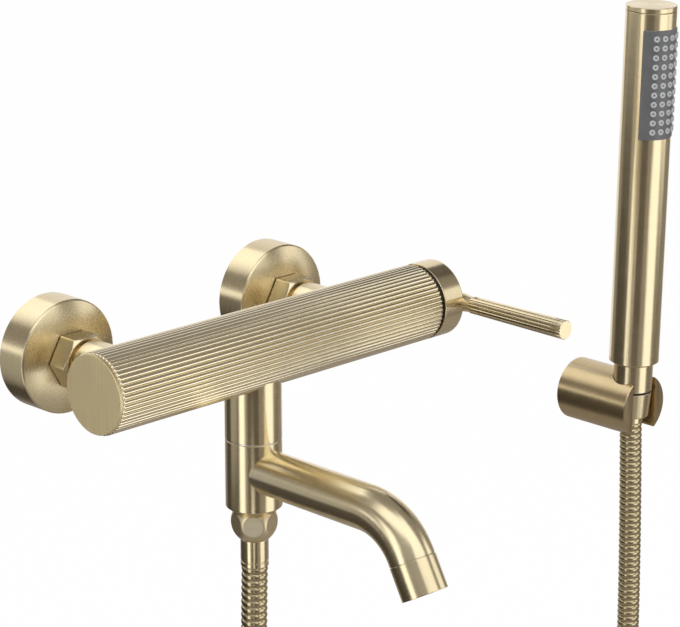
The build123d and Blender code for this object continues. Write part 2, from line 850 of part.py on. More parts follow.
# Outlet nipple: carries the hub on its flange and the hose nut on its thread
nipple_top = hub_bottom - turn_gap
nipple_flange_bottom = nipple_top - nipple_flange
nipple_end = nipple_flange_bottom - nipple_length
with BuildPart() as outlet_nipple:
    with BuildSketch(column_side):
        Polygon(
            (core_bore, nipple_top + nipple_spigot_length),
            (nipple_spigot_radius, nipple_top + nipple_spigot_length),
            (nipple_spigot_radius, nipple_top),
            (nipple_flange_radius, nipple_top),
            (nipple_flange_radius, nipple_flange_bottom),
            (nipple_thread_radius, nipple_flange_bottom),
            (nipple_thread_radius, nipple_end),
            (core_bore, nipple_end),
            align=None,
        )
    revolve(axis=column_axis)
keep(outlet_nipple, "outlet_nipple")

# Hose nut at the tap: a hexagon turned to a ball, one flat toward the front left
nut_top = nipple_flange_bottom - seat_gap
nut_bottom = nut_top - hose_nut_length
ball_z = (nut_top + nut_bottom) / 2 + 1.9
cone_start = nipple_end - hose_washer - 1.0
with BuildPart() as hose_nut_tap:
    with BuildSketch(Plane((0, body_y, nut_top))):
        RegularPolygon(hose_nut_across_flats / 2, 6, major_radius=False, rotation=15)
    extrude(amount=-hose_nut_length)
    with BuildSketch(column_side):
        with Locations((0, ball_z)):
            Circle(hose_nut_sphere)
        with Locations((-hose_nut_sphere, ball_z)):
            Rectangle(2 * hose_nut_sphere, 3 * hose_nut_sphere, mode=Mode.SUBTRACT)
    revolve(axis=column_axis, mode=Mode.INTERSECT)
    with BuildSketch(column_side):
        Polygon(
            (0, nut_top),
            (nipple_thread_radius, nut_top),
            (nipple_thread_radius, cone_start),
            (ferrule_collar_radius + ferrule_gap, cone_start),
            (ferrule_neck_radius + ferrule_gap, cone_start - 2.6),
            (ferrule_neck_radius + ferrule_gap, nut_bottom),
            (0, nut_bottom),
            align=None,
        )
    revolve(axis=column_axis, mode=Mode.SUBTRACT)
keep(hose_nut_tap, "hose_nut_tap")

with BuildPart() as hose_washer_tap:
    with BuildSketch(Plane((0, body_y, nipple_end))):
        Circle(ferrule_collar_radius)
        Circle(core_bore, mode=Mode.SUBTRACT)
    extrude(amount=-hose_washer)
keep(hose_washer_tap, "hose_washer_tap")

ferrule_top = nipple_end - hose_washer
ferrule_bottom = nut_bottom - ferrule_length
with BuildPart() as hose_ferrule_tap:
    with BuildSketch(column_side):
        Polygon(
            (hose_bore, ferrule_top),
            (ferrule_collar_radius, ferrule_top),
            (ferrule_collar_radius, cone_start),
            (ferrule_neck_radius, cone_start - 2.6),
            (ferrule_neck_radius, nut_bottom - 0.3),
            (ferrule_radius - 0.3, nut_bottom - 0.3),
            (ferrule_radius, nut_bottom - 0.6),
            (ferrule_radius, ferrule_bottom + 3.4),
            (ferrule_radius - 0.4, ferrule_bottom + 3.2),
            (ferrule_radius - 0.4, ferrule_bottom + 2.6),
            (ferrule_radius, ferrule_bottom + 2.4),
            (ferrule_radius, ferrule_bottom + 0.4),
            (ferrule_radius - 0.4, ferrule_bottom),
            (hose_bore, ferrule_bottom),
            align=None,
        )
    revolve(axis=column_axis)
keep(hose_ferrule_tap, "hose_ferrule_tap")

# Route of the hose. It drops from the tap, swings right into one level turn of a coil and rises
# to the hand shower. The unseen length lies in the coil.
lean = radians(holder_lean)
up = Vector(0, -sin(lean), cos(lean))
holder_point = Vector(holder_x, holder_hole_y, holder_z)
cone_bottom = connector_bottom - ring_height - cone_length
handset_ferrule_length = 4.4
hose_top = holder_point + up * (cone_bottom - handset_ferrule_length)
coil_x = holder_x - coil_radius
coil_end_y = hose_top.Y
coil_start_y = coil_end_y - coil_pitch * coil_turns
coil_low = coil_z - coil_radius
hose_points = [
    (0, body_y, ferrule_bottom),
    (0, body_y, -254.0),
    (26.0, body_y + 2.0, -391.0),
    (93.0, body_y + 9.0, coil_low + 19.0),
    (coil_x - coil_radius - 10.0, coil_start_y - 2.7, coil_low),
    (coil_x, coil_start_y, coil_low),
]
corners = [Vector(*p) for p in hose_points]
runs = [(b - a).length for a, b in zip(corners, corners[1:])]
turns = [
    (b - a).get_angle(c - b) for a, b, c in zip(corners, corners[1:], corners[2:])
]
radii = [
    0.45 * min(before, after) / tan(radians(turn) / 2)
    for before, after, turn in zip(runs, runs[1:], turns)
]
print("hose radii", [round(r) for r in radii])


def ribbed(top, bottom, count, step):
    """Circles of a ribbed tube from top to bottom: four to a rib, then plain to the end."""
    stations = [(0.0, hose_valley)]
    for i in range(count):
        stations += [
            (i * step + 0.5, hose_radius),
            (i * step + step - 0.5, hose_radius),
            (i * step + step, hose_valley),
        ]
    stations += [(count * step + 0.5, hose_radius), ((bottom - top).length, hose_radius)]
    along = (bottom - top).normalized()
    return [(top + along * distance, radius) for distance, radius in stations]


# Hose below the tap: ribbed as far as it shows, then plain round the first bend
ribs_end = ferrule_bottom - ribs_at_tap * rib_pitch - 4.0
with BuildPart() as hose_run_tap:
    top_point = Vector(0, body_y, ferrule_bottom)
    for centre, radius in ribbed(top_point, Vector(0, body_y, ribs_end), ribs_at_tap, rib_pitch):
        with BuildSketch(Plane(centre, x_dir=(1, 0, 0), z_dir=(0, 0, -1))):
            Circle(radius)
    loft(ruled=True)
    with BuildLine() as tap_route:
        FilletPolyline(Vector(0, body_y, ribs_end), *corners[1:], radius=radii)
    with BuildSketch(Plane((0, body_y, ribs_end), x_dir=(1, 0, 0), z_dir=(0, 0, -1))):
        Circle(hose_radius)
    sweep(path=tap_route.line)
    with BuildSketch(Plane((0, body_y, ferrule_bottom), x_dir=(1, 0, 0), z_dir=(0, 0, -1))):
        Circle(hose_bore)
    extrude(amount=ferrule_bottom - ribs_end, mode=Mode.SUBTRACT)
keep(hose_run_tap, "hose_run_tap")


def biarc(start, start_way, end, end_way):
    """The middle point of the two arcs that join two points of the coil, each with its direction."""
    span = end - start
    ways = start_way + end_way
    scale = 2 * (1 - start_way.dot(end_way))
    reach = (-span.dot(ways) + sqrt(span.dot(ways) ** 2 + scale * span.dot(span))) / scale
    return (start + end + (start_way - end_way) * reach) / 2


def coil_point(turn):
    """A point and a direction on the coil, turn counted from its lowest point."""
    angle = 2 * pi * turn - pi / 2
    point = Vector(
        coil_x + coil_radius * cos(angle),
        coil_start_y + coil_pitch * turn,
        coil_z + coil_radius * sin(angle),
    )
    way = Vector(
        -coil_radius * sin(angle), coil_pitch / (2 * pi), coil_radius * cos(angle)
    )
    return point, way.normalized()


# Coil: one unbroken tube on pairs of arcs, a quarter turn each
quarter_turns = round(coil_turns * 4)
coil_end = Vector(holder_x, coil_end_y, coil_z + 2 * hose_radius)
with BuildPart() as hose_coil:
    with BuildLine() as coil_route:
        for i in range(quarter_turns):
            start, start_way = coil_point(i / 4)
            end, end_way = coil_point((i + 1) / 4)
            if i == quarter_turns - 1:
                end_way = Vector(0, 0, 1)
            middle = biarc(start, start_way, end, end_way)
            first = TangentArc(start, middle, tangent=start_way)
            TangentArc(middle, end, tangent=first % 1)
        Line(end, coil_end)
    with BuildSketch(Plane(coil_route.line @ 0, z_dir=coil_route.line % 0)):
        Circle(hose_radius)
    sweep(path=coil_route.line)
keep(hose_coil, "hose_coil")

coil_wire = coil_route.wire()
tap_wire = tap_route.wire()
samples = [coil_wire @ (i / 240) for i in range(241)]
spacing = coil_wire.length / 240
far = int(4 * hose_radius / spacing)
least = min(
    (samples[i] - samples[j]).length
    for i in range(241)
    for j in range(i + far, 241)
)
print("least gap of the coil to itself", round(least - 2 * hose_radius, 2))

# Strap round the two strands of the coil, at its lowest point
tie_at, tie_way = coil_point(0)
tie_next, _ = coil_point(1)
tie_middle = (tie_at + tie_next) / 2
tie_plane = Plane(tie_middle, x_dir=(0, 1, 0), z_dir=tie_way)
with BuildPart() as coil_tie:
    with BuildSketch(tie_plane.offset(-tie_width / 2)):
        SlotCenterToCenter(coil_pitch, 2 * (hose_radius + tie_play + tie_thickness))
        SlotCenterToCenter(coil_pitch, 2 * (hose_radius + tie_play), mode=Mode.SUBTRACT)
    extrude(amount=tie_width)
keep(coil_tie, "coil_tie")

# Hose below the hand shower, ribbed as far as it shows. It lengthens as the shower is lifted.
with BuildPart() as hose_run_handset:
    with BuildSketch(Plane(hose_top, x_dir=(1, 0, 0), z_dir=up * -1)):
        Circle(hose_valley)
    for centre, radius in ribbed(hose_top, coil_end, ribs_at_handset, rib_pitch)[1:]:
        with BuildSketch(Plane(centre, x_dir=(1, 0, 0), z_dir=(0, 0, -1))):
            Circle(radius)
    loft(ruled=True)
    with BuildSketch(Plane(hose_top, x_dir=(1, 0, 0), z_dir=up * -1)):
        Circle(hose_bore)
    extrude(amount=ribs_at_handset * rib_pitch, mode=Mode.SUBTRACT)
keep(hose_run_handset, "hose_run_handset")

hose_length = (
    (ferrule_bottom - ribs_end)
    + tap_wire.length
    + coil_wire.length
    + (hose_top - coil_end).length
)
print("hose length", round(hose_length, 1))

# Wall holder: a short bar with an upright conical hole, open at the front between two ears
holder_front = Plane((holder_x, 0, holder_z), x_dir=(1, 0, 0), z_dir=(0, -1, 0))
holder_axis = Axis((holder_x, 0, holder_z), (0, 1, 0))
shower = Plane(holder_point, x_dir=(1, 0, 0), z_dir=up)
shower_side = Plane(holder_point, x_dir=(1, 0, 0), z_dir=(0, -cos(lean), -sin(lean)))
shower_axis = Axis(holder_point, up)
with BuildPart() as holder_body:
    with BuildSketch(holder_front):
        Circle(holder_radius)
    extrude(amount=holder_length)
    chamfer(holder_body.edges().group_by(Axis.Y)[0], length=holder_edge)
    with BuildSketch(holder_front):
        Circle(base_radius + base_gap)
    extrude(amount=holder_base_thickness + base_gap, mode=Mode.SUBTRACT)
    with BuildSketch(shower_side):
        Polygon(
            (0, -holder_radius - 2),
            (holder_ledge_radius, -holder_radius - 2),
            (holder_ledge_radius, cone_bottom - seat_gap),
            (cone_bottom_radius + seat_play, cone_bottom - seat_gap),
            (cone_top_radius + seat_play, cone_bottom + cone_length),
            (holder_hole_radius, connector_bottom),
            (holder_hole_radius, holder_radius + 2),
            (0, holder_radius + 2),
            align=None,
        )
    revolve(axis=shower_axis, mode=Mode.SUBTRACT)
    with BuildSketch(shower.offset(-holder_radius - 3)):
        with Locations((0, -holder_length / 2)):
            Rectangle(holder_slot, holder_length)
    extrude(amount=2 * holder_radius + 6, mode=Mode.SUBTRACT)
    with BuildSketch(Plane((holder_x, -holder_base_thickness / 2, holder_z))):
        Circle(grub_radius)
    extrude(amount=-holder_radius - 1, mode=Mode.SUBTRACT)
keep(holder_body, "holder_body")

# Round base that is screwed to the wall inside the holder
with BuildPart() as holder_base:
    with BuildSketch(holder_front):
        Circle(base_radius)
    extrude(amount=holder_base_thickness)
    with BuildSketch(holder_front):
        with GridLocations(1, screw_spacing, 1, 2):
            Circle(screw_radius + screw_shank_step + 0.2)
    extrude(amount=holder_base_thickness, mode=Mode.SUBTRACT)
    with BuildSketch(holder_front.offset(holder_base_thickness)):
        with GridLocations(1, screw_spacing, 1, 2):
            Circle(screw_head_radius + 0.3)
    extrude(amount=-screw_head_depth, mode=Mode.SUBTRACT)
keep(holder_base, "holder_base")

with BuildPart() as holder_screws:
    with BuildSketch(holder_front.offset(holder_base_thickness - screw_head_depth)):
        with GridLocations(1, screw_spacing, 1, 2):
            Circle(screw_head_radius)
    extrude(amount=2.6)
    with BuildSketch(holder_front.offset(holder_base_thickness - screw_head_depth)):
        with GridLocations(1, screw_spacing, 1, 2):
            Circle(screw_radius + screw_shank_step)
    extrude(amount=-(holder_base_thickness - screw_head_depth + screw_shank_proud))
    with BuildSketch(holder_front.offset(holder_base_thickness - screw_head_depth)):
        with GridLocations(1, screw_spacing, 1, 2):
            Circle(screw_radius)
    extrude(amount=-screw_length)
keep(holder_screws, "holder_screws")

with BuildPart() as holder_grub_screw:
    with BuildSketch(Plane((holder_x, -holder_base_thickness / 2, holder_z - base_radius))):
        Circle(grub_radius)
    extrude(amount=-holder_grub_length)
keep(holder_grub_screw, "holder_grub_screw")

# Lower end of the hand shower: threaded connector, black ring, conical nut, washer and hose ferrule
nipple_low = cone_bottom + 7.4
with BuildPart() as handset_connector:
    with BuildSketch(shower_side):
        Polygon(
            (core_bore, nipple_low),
            (nipple_thread_radius, nipple_low),
            (nipple_thread_radius, connector_bottom),
            (connector_radius - 0.3, connector_bottom),
            (connector_radius, connector_bottom + 0.3),
            (connector_radius, tube_bottom),
            (tube_radius - tube_wall, tube_bottom),
            (tube_radius - tube_wall, tube_bottom + connector_plug),
            (core_bore, tube_bottom + connector_plug),
            align=None,
        )
    revolve(axis=shower_axis)
keep(handset_connector, "handset_connector")

with BuildPart() as connector_ring:
    with BuildSketch(shower.offset(connector_bottom - ring_height)):
        Circle(connector_radius - 0.6)
        Circle(nipple_thread_radius, mode=Mode.SUBTRACT)
    extrude(amount=ring_height)
keep(connector_ring, "connector_ring")

collar_top = nipple_low - hose_washer
with BuildPart() as hose_nut_handset:
    with BuildSketch(shower_side):
        Polygon(
            (ferrule_neck_radius + ferrule_gap, cone_bottom),
            (cone_bottom_radius - 0.6, cone_bottom),
            (cone_bottom_radius, cone_bottom + 0.5),
            (cone_top_radius, cone_bottom + cone_length - 0.3),
            (cone_top_radius - 0.3, cone_bottom + cone_length),
            (nipple_thread_radius, cone_bottom + cone_length),
            (nipple_thread_radius, collar_top - 1.0),
            (ferrule_collar_radius + ferrule_gap, collar_top - 1.0),
            (ferrule_neck_radius + ferrule_gap, collar_top - 3.6),
            align=None,
        )
    revolve(axis=shower_axis)
keep(hose_nut_handset, "hose_nut_handset")

with BuildPart() as hose_washer_handset:
    with BuildSketch(shower.offset(collar_top)):
        Circle(ferrule_collar_radius)
        Circle(core_bore, mode=Mode.SUBTRACT)
    extrude(amount=hose_washer)
keep(hose_washer_handset, "hose_washer_handset")

ferrule_play = 0.05
with BuildPart() as hose_ferrule_handset:
    with BuildSketch(shower_side):
        Polygon(
            (hose_bore, collar_top - ferrule_play),
            (ferrule_collar_radius - 0.1, collar_top - ferrule_play),
            (ferrule_collar_radius - 0.1, collar_top - 1.0),
            (ferrule_neck_radius - 0.1, collar_top - 3.6),
            (ferrule_neck_radius - 0.1, cone_bottom - 0.3),
            (ferrule_radius - 0.1, cone_bottom - 0.3),
            (ferrule_radius - 0.1, cone_bottom - handset_ferrule_length + 0.3),
            (ferrule_radius - 0.4, cone_bottom - handset_ferrule_length),
            (hose_bore, cone_bottom - handset_ferrule_length),
            align=None,
        )
    revolve(axis=shower_axis)
keep(hose_ferrule_handset, "hose_ferrule_handset")

# Hand shower tube with the window for its spray strip, and the disc that closes the top
spray_outer = tube_radius + spray_proud
spray_inner = spray_outer - spray_thickness
mid_angle = -90 + spray_turn


def sector(outer, inner, half_angle):
    """A curved strip of the shower's section, centred on the spray's direction."""
    first = radians(mid_angle - half_angle)
    middle = radians(mid_angle)
    last = radians(mid_angle + half_angle)
    reach = 4 * outer
    Circle(outer)
    Circle(inner, mode=Mode.SUBTRACT)
    Polygon(
        (0, 0),
        (reach * cos(first), reach * sin(first)),
        (reach * cos(middle), reach * sin(middle)),
        (reach * cos(last), reach * sin(last)),
        align=None,
        mode=Mode.INTERSECT,
    )


with BuildPart() as handset_tube:
    with BuildSketch(shower.offset(tube_bottom)):
        Circle(tube_radius)
        Circle(tube_radius - tube_wall, mode=Mode.SUBTRACT)
    extrude(amount=tube_top - top_cap_groove - tube_bottom)
    with BuildSketch(shower.offset(spray_bottom - seat_gap)):
        sector(spray_outer + 1, spray_inner - 1, spray_half_angle + 0.2)
    extrude(amount=spray_top - spray_bottom + 2 * seat_gap, mode=Mode.SUBTRACT)
keep(handset_tube, "handset_tube")

with BuildPart() as handset_cap:
    with BuildSketch(shower_side):
        Polygon(
            (0, tube_top - 8),
            (tube_radius - tube_wall, tube_top - 8),
            (tube_radius - tube_wall, tube_top),
            (tube_radius, tube_top),
            (tube_radius, tube_top + top_cap_thickness - 0.4),
            (tube_radius - 0.4, tube_top + top_cap_thickness),
            (0, tube_top + top_cap_thickness),
            align=None,
        )
    revolve(axis=shower_axis)
keep(handset_cap, "handset_cap")

# Spray strip, the soft mat behind it whose nozzles stand through its holes, and the water chamber
nozzle_places = [
    (nozzle_first + row * nozzle_row_pitch, mid_angle + (column - (nozzle_columns - 1) / 2) * nozzle_column_step)
    for row in range(nozzle_rows)
    for column in range(nozzle_columns)
]


def nozzle_plane(height, angle, radius):
    """The plane square to a nozzle, at a radius from the shower's axis."""
    way = shower.from_local_coords(Vector(cos(radians(angle)), sin(radians(angle)), 0)) - shower.origin
    return Plane(shower.origin + up * height + way * radius, x_dir=up, z_dir=way)


with BuildPart() as spray_plate:
    with BuildSketch(shower.offset(spray_bottom)):
        sector(spray_outer, spray_inner, spray_half_angle)
    extrude(amount=spray_top - spray_bottom)
    for height, angle in nozzle_places:
        with BuildSketch(nozzle_plane(height, angle, spray_inner - 1)):
            RegularPolygon(nozzle_radius + nozzle_gap, 6)
        extrude(amount=spray_thickness + 2, mode=Mode.SUBTRACT)
keep(spray_plate, "spray_plate")

mat_outer = spray_inner - seat_gap
with BuildPart() as nozzle_mat:
    with BuildSketch(shower.offset(spray_bottom + 1)):
        sector(mat_outer, mat_outer - mat_thickness, spray_half_angle - 6)
    extrude(amount=spray_top - spray_bottom - 2)
    for height, angle in nozzle_places:
        with BuildSketch(nozzle_plane(height, angle, mat_outer - mat_thickness / 2)):
            RegularPolygon(nozzle_radius, 6)
        extrude(amount=spray_outer + nozzle_height - mat_outer + mat_thickness / 2, taper=3)
keep(nozzle_mat, "nozzle_mat")

chamber_outer = mat_outer - mat_thickness - seat_gap
with BuildPart() as spray_chamber:
    with BuildSketch(shower.offset(tube_bottom + connector_plug)):
        Circle(core_bore + 1.2)
        Circle(core_bore, mode=Mode.SUBTRACT)
    extrude(amount=spray_bottom - 6 - tube_bottom - connector_plug)
    with BuildSketch(shower.offset(spray_bottom - 6)):
        Circle(chamber_outer)
    extrude(amount=tube_top - 8 - spray_bottom + 6)
    with BuildSketch(shower.offset(spray_bottom - 6)):
        Circle(core_bore)
    extrude(amount=spray_top - spray_bottom, mode=Mode.SUBTRACT)
keep(spray_chamber, "spray_chamber")
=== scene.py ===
import json
from math import cos, pi, radians, sin, tan

import bmesh
import bpy
import numpy as np
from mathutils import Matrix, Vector


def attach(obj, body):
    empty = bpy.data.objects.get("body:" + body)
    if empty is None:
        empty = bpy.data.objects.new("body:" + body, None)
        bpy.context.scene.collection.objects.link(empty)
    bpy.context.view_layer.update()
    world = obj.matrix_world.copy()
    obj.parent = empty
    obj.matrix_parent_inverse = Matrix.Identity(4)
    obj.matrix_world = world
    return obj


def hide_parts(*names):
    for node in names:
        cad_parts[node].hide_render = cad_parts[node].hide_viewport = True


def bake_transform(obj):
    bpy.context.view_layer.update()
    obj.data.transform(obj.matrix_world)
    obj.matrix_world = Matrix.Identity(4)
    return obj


# A wall-mounted bath tap: mixer body, turning spout, side lever, hose, wall holder and hand shower.
# The wall is y = 0 and the tap stands out toward -y. Pieces are in millimetres, the stage is in metres.
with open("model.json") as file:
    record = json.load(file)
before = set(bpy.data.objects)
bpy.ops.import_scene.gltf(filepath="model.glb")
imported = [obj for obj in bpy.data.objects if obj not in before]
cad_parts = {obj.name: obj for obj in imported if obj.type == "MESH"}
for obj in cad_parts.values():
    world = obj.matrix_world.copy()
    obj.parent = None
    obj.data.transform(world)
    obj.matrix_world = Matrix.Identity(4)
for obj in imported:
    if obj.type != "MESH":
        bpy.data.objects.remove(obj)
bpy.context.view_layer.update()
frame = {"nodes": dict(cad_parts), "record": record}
nodes = frame["nodes"]
print("frame loaded")

mm = 0.001

# camera at the photograph's angle
cameraView = {"place": (-0.886435, -1.030805, 0.408602), "tilt": 73.357, "turn": -44.814, "lens": 140.86,
              "sensor": 36.0, "farEnd": 50.0}
cameraData = bpy.data.cameras.new("camera")
cameraData.sensor_fit = "HORIZONTAL"
cameraData.sensor_width = cameraView["sensor"]
cameraData.lens = cameraView["lens"]
cameraData.clip_end = cameraView["farEnd"]
camera = bpy.data.objects.new("camera", cameraData)
camera.location = cameraView["place"]
camera.rotation_euler = (radians(cameraView["tilt"]), 0.0, radians(cameraView["turn"]))
bpy.context.collection.objects.link(camera)
bpy.context.scene.camera = camera
bpy.context.scene.view_settings.view_transform = "Standard"
print("camera set")

# points closer than this are merged, in metres
mergeWithin = 2e-6
# a profile's corner: usual rounding, its largest share of a side, and where one more point keeps the side flat
rounding = {"usual": 0.12, "share": 0.4, "beyond": 0.25, "beyondShare": 0.08}


def gridFaces(rows, columns, rings=True, loop=False):
    # the four corners of each face of a grid, and the row and column where it starts: rings joins the last
    # column to the first and loop the last row to the first
    i, j = np.meshgrid(np.arange(rows if loop else rows - 1), np.arange(columns if rings else columns - 1),
                       indexing="ij")
    below, right = (i + 1) % rows, (j + 1) % columns
    faces = np.stack([i * columns + j, i * columns + right, below * columns + right, below * columns + j], -1)
    return faces.reshape(-1, 4), i, j


def meshPiece(name, points, rings=True, loop=False, grain=None, sharp=35.0):
    # a grid of points (rows, columns, 3) as one smooth mesh; rows that shrink to a point are merged
    faces, i, j = gridFaces(*points.shape[:2], rings, loop)
    mesh = bpy.data.meshes.new(name)
    mesh.from_pydata((points.reshape(-1, 3) * mm).tolist(), [], faces.tolist())
    if grain is not None:
        u, v = grain
        corners = [np.stack([u[a], v[b]], -1) for a, b in ((j, i), (j + 1, i), (j + 1, i + 1), (j, i + 1))]
        layer = mesh.uv_layers.new(name="grain")
        layer.data.foreach_set("uv", np.stack(corners, 2).reshape(-1).astype(np.float32))
    return finishMesh(name, mesh, sharp)


def finishMesh(name, mesh, sharp, flatWithin=None):
    # poles or flat facets merged, faces turned outward, shading smooth except over real edges
    work = bmesh.new()
    work.from_mesh(mesh)
    bmesh.ops.remove_doubles(work, verts=work.verts, dist=mergeWithin)
    if flatWithin is None:
        bmesh.ops.dissolve_degenerate(work, edges=work.edges, dist=1e-7)
    else:
        bmesh.ops.dissolve_limit(work, angle_limit=radians(flatWithin), verts=work.verts, edges=work.edges)
    bmesh.ops.recalc_face_normals(work, faces=work.faces)
    work.to_mesh(mesh)
    work.free()
    mesh.shade_smooth()
    mesh.set_sharp_from_angle(angle=radians(sharp))
    piece = bpy.data.objects.new(name, mesh)
    bpy.context.collection.objects.link(piece)
    return piece


def meshPlaces(mesh):
    # where each face corner of a mesh lies, in metres
    corner = np.empty(len(mesh.loops), int)
    mesh.loops.foreach_get("vertex_index", corner)
    place = np.empty(len(mesh.vertices) * 3)
    mesh.vertices.foreach_get("co", place)
    return place.reshape(-1, 3)[corner]


def softProfile(corners, loop=False):
    # (along, radius, rounding) rows into a fine profile: each corner becomes a short curve between points
    # at the rounding's distance on its two sides; a rounding of 0 keeps it
    table = np.array([(list(c) + [rounding["usual"]])[:3] for c in corners], float)
    out = []
    for k, (along, radius, bend) in enumerate(table):
        here = table[k, :2]
        if bend == 0 or (not loop and k in (0, len(table) - 1)):
            out.append(here)
            continue
        back, ahead = table[k - 1, :2] - here, table[(k + 1) % len(table), :2] - here
        lengths = np.hypot(*back), np.hypot(*ahead)
        cut = min(bend, *(rounding["share"] * length for length in lengths))
        flats = [cut + min(rounding["beyond"], rounding["beyondShare"] * length) for length in lengths]
        back, ahead = back / lengths[0], ahead / lengths[1]
        out.append(here + back * flats[0])
        for t in (0.0, 0.25, 0.5, 0.75, 1.0):
            out.append(here + back * cut * (1 - t) ** 2 + ahead * cut * t ** 2)
        out.append(here + ahead * flats[1])
    return np.array(out)


def fullTurn(count):
    return np.linspace(0, 2 * pi, count, endpoint=False)


def placed(along, radius, angle, place):
    # point = origin + axis * along + radius * (side * cos(angle) + other * sin(angle))
    origin, axis, side = (np.array(p, float) for p in place)
    other = np.cross(axis, side)
    ring = side * np.cos(angle)[..., None] + other * np.sin(angle)[..., None]
    return origin + axis * along[..., None] + ring * radius[..., None]


def turned(name, corners, place, count=120, loop=False, shape=None, angle=None, sharp=35.0):
    # a lathe surface: a profile of (along, radius) swept round an axis, where shape may change both with
    # the angle. The grain's u runs round the piece and its v along the profile, in metres
    profile = softProfile(corners, loop)
    angle = fullTurn(count) if angle is None else angle
    along = np.repeat(profile[:, :1], len(angle), 1)
    radius = np.repeat(profile[:, 1:], len(angle), 1)
    turn = np.repeat(angle[None, :], len(profile), 0)
    if shape is not None:
        along, radius = shape(along, radius, turn)
    steps = np.hypot(*(np.roll(profile, -1, 0) - profile).T)
    grain = grainRound(angle, profile[:, 1].max()), np.concatenate([[0], np.cumsum(steps)]) * mm
    return meshPiece(name, placed(along, radius, turn, place), loop=loop, grain=grain, sharp=sharp)


def turnedRows(name, rows, angle, place, size):
    # a closed lathe surface from rows of (along, radius), each a number or one value per angle
    along, radius = (np.array([row[k] + np.zeros(len(angle)) for row in rows]) for k in (0, 1))
    points = placed(along, radius, np.repeat(angle[None], len(rows), 0), place)
    steps = np.hypot(np.diff(along.mean(1)), np.diff(radius.mean(1)))
    grain = grainRound(angle, size["grainRadius"]), grainAlong(steps, size["grainEnd"])
    return meshPiece(name, points, loop=True, grain=grain, sharp=size["sharp"])


def grainRound(angle, radius):
    # the grain's u at each column, and at the one that closes the ring
    return np.append(angle, angle[0] + 2 * pi) * radius * mm


def grainAlong(steps, end):
    # the grain's v at each row: the way gone so far, and a last value for the row that closes the loop
    return np.concatenate([[0], np.cumsum(steps), [end]]) * mm


def fold(angle, count):
    # an angle measured from the middle of the nearest of count equal sectors
    return np.mod(angle + pi / count, 2 * pi / count) - pi / count


def hexRadius(angle, acrossFlats, cornerRadius=np.inf):
    # distance from the axis to a hexagon's side at an angle, its corners cut by a circle
    return np.minimum(acrossFlats / 2 / np.cos(fold(angle, 6)), cornerRadius)


def softMinimum(a, b, width):
    # the smaller of two distances, with the step between them rounded over a width
    h = np.clip(0.5 + 0.5 * (b - a) / width, 0, 1)
    return b * (1 - h) + a * h - width * h * (1 - h)


# the hose: its route's corners down from the tap, the coil, and the straight rise to the hand shower
hoseRoute = {
    "drop": [(0, -75, -118.41), (-4.4, -75, -254), (26, -73, -391), (93, -66, -481), (183.7, -65.4, -500),
             (271.7, -62.7, -500)],
    "coilCentre": (271.7, -62.7, -422), "coilRadius": 78.0, "coilPitch": 15.0, "coilTurns": 1.25, "pointsPerTurn": 16,
    "rise": [(355.9, -43.95, -262), (349.7, -43.95, -130.8)],
}
# rib is one rib's height from valley to crest at even steps; the length is in metres
hoseSize = {"crest": 7.0, "valley": 6.3, "pitch": 3.75, "rib": [0.0, 0.62, 0.92, 1.0, 0.92, 0.62], "around": 24,
            "evenOver": 13, "sharp": 60.0, "length": 1.466}


def hoseLine(name, resolution=24):
    # a NURBS line through the route's points, read back as points in metres. The coil's turns are points of
    # the same line: centre + radius * (cos, sin), moved along by the pitch
    h = hoseRoute
    turns = np.arange(1, int(h["coilTurns"] * h["pointsPerTurn"]) + 1) / h["pointsPerTurn"]
    angle = 2 * pi * turns - pi / 2
    x, y, z = h["coilCentre"]
    coil = np.stack([x + h["coilRadius"] * np.cos(angle), y + h["coilPitch"] * turns,
                     z + h["coilRadius"] * np.sin(angle)], 1)
    points = np.concatenate([h["drop"], coil, h["rise"]])
    line = bpy.data.curves.new(name, "CURVE")
    line.dimensions = "3D"
    line.resolution_u = resolution
    spline = line.splines.new("NURBS")
    spline.points.add(len(points) - 1)
    spline.points.foreach_set("co", np.column_stack([points * mm, np.ones(len(points))]).ravel())
    spline.order_u = 3
    spline.use_endpoint_u = True
    holder = bpy.data.objects.new(name, line)
    bpy.context.collection.objects.link(holder)
    bpy.context.view_layer.update()
    mesh = bpy.data.meshes.new_from_object(holder)
    path = np.empty(len(mesh.vertices) * 3)
    mesh.vertices.foreach_get("co", path)
    bpy.data.objects.remove(holder)
    bpy.data.meshes.remove(mesh)
    bpy.data.curves.remove(line)
    return path.reshape(-1, 3)


def ended(rows):
    # the first and last rows doubled, so that a tube can be closed at its ends
    return np.concatenate([rows[:1], rows, rows[-1:]])


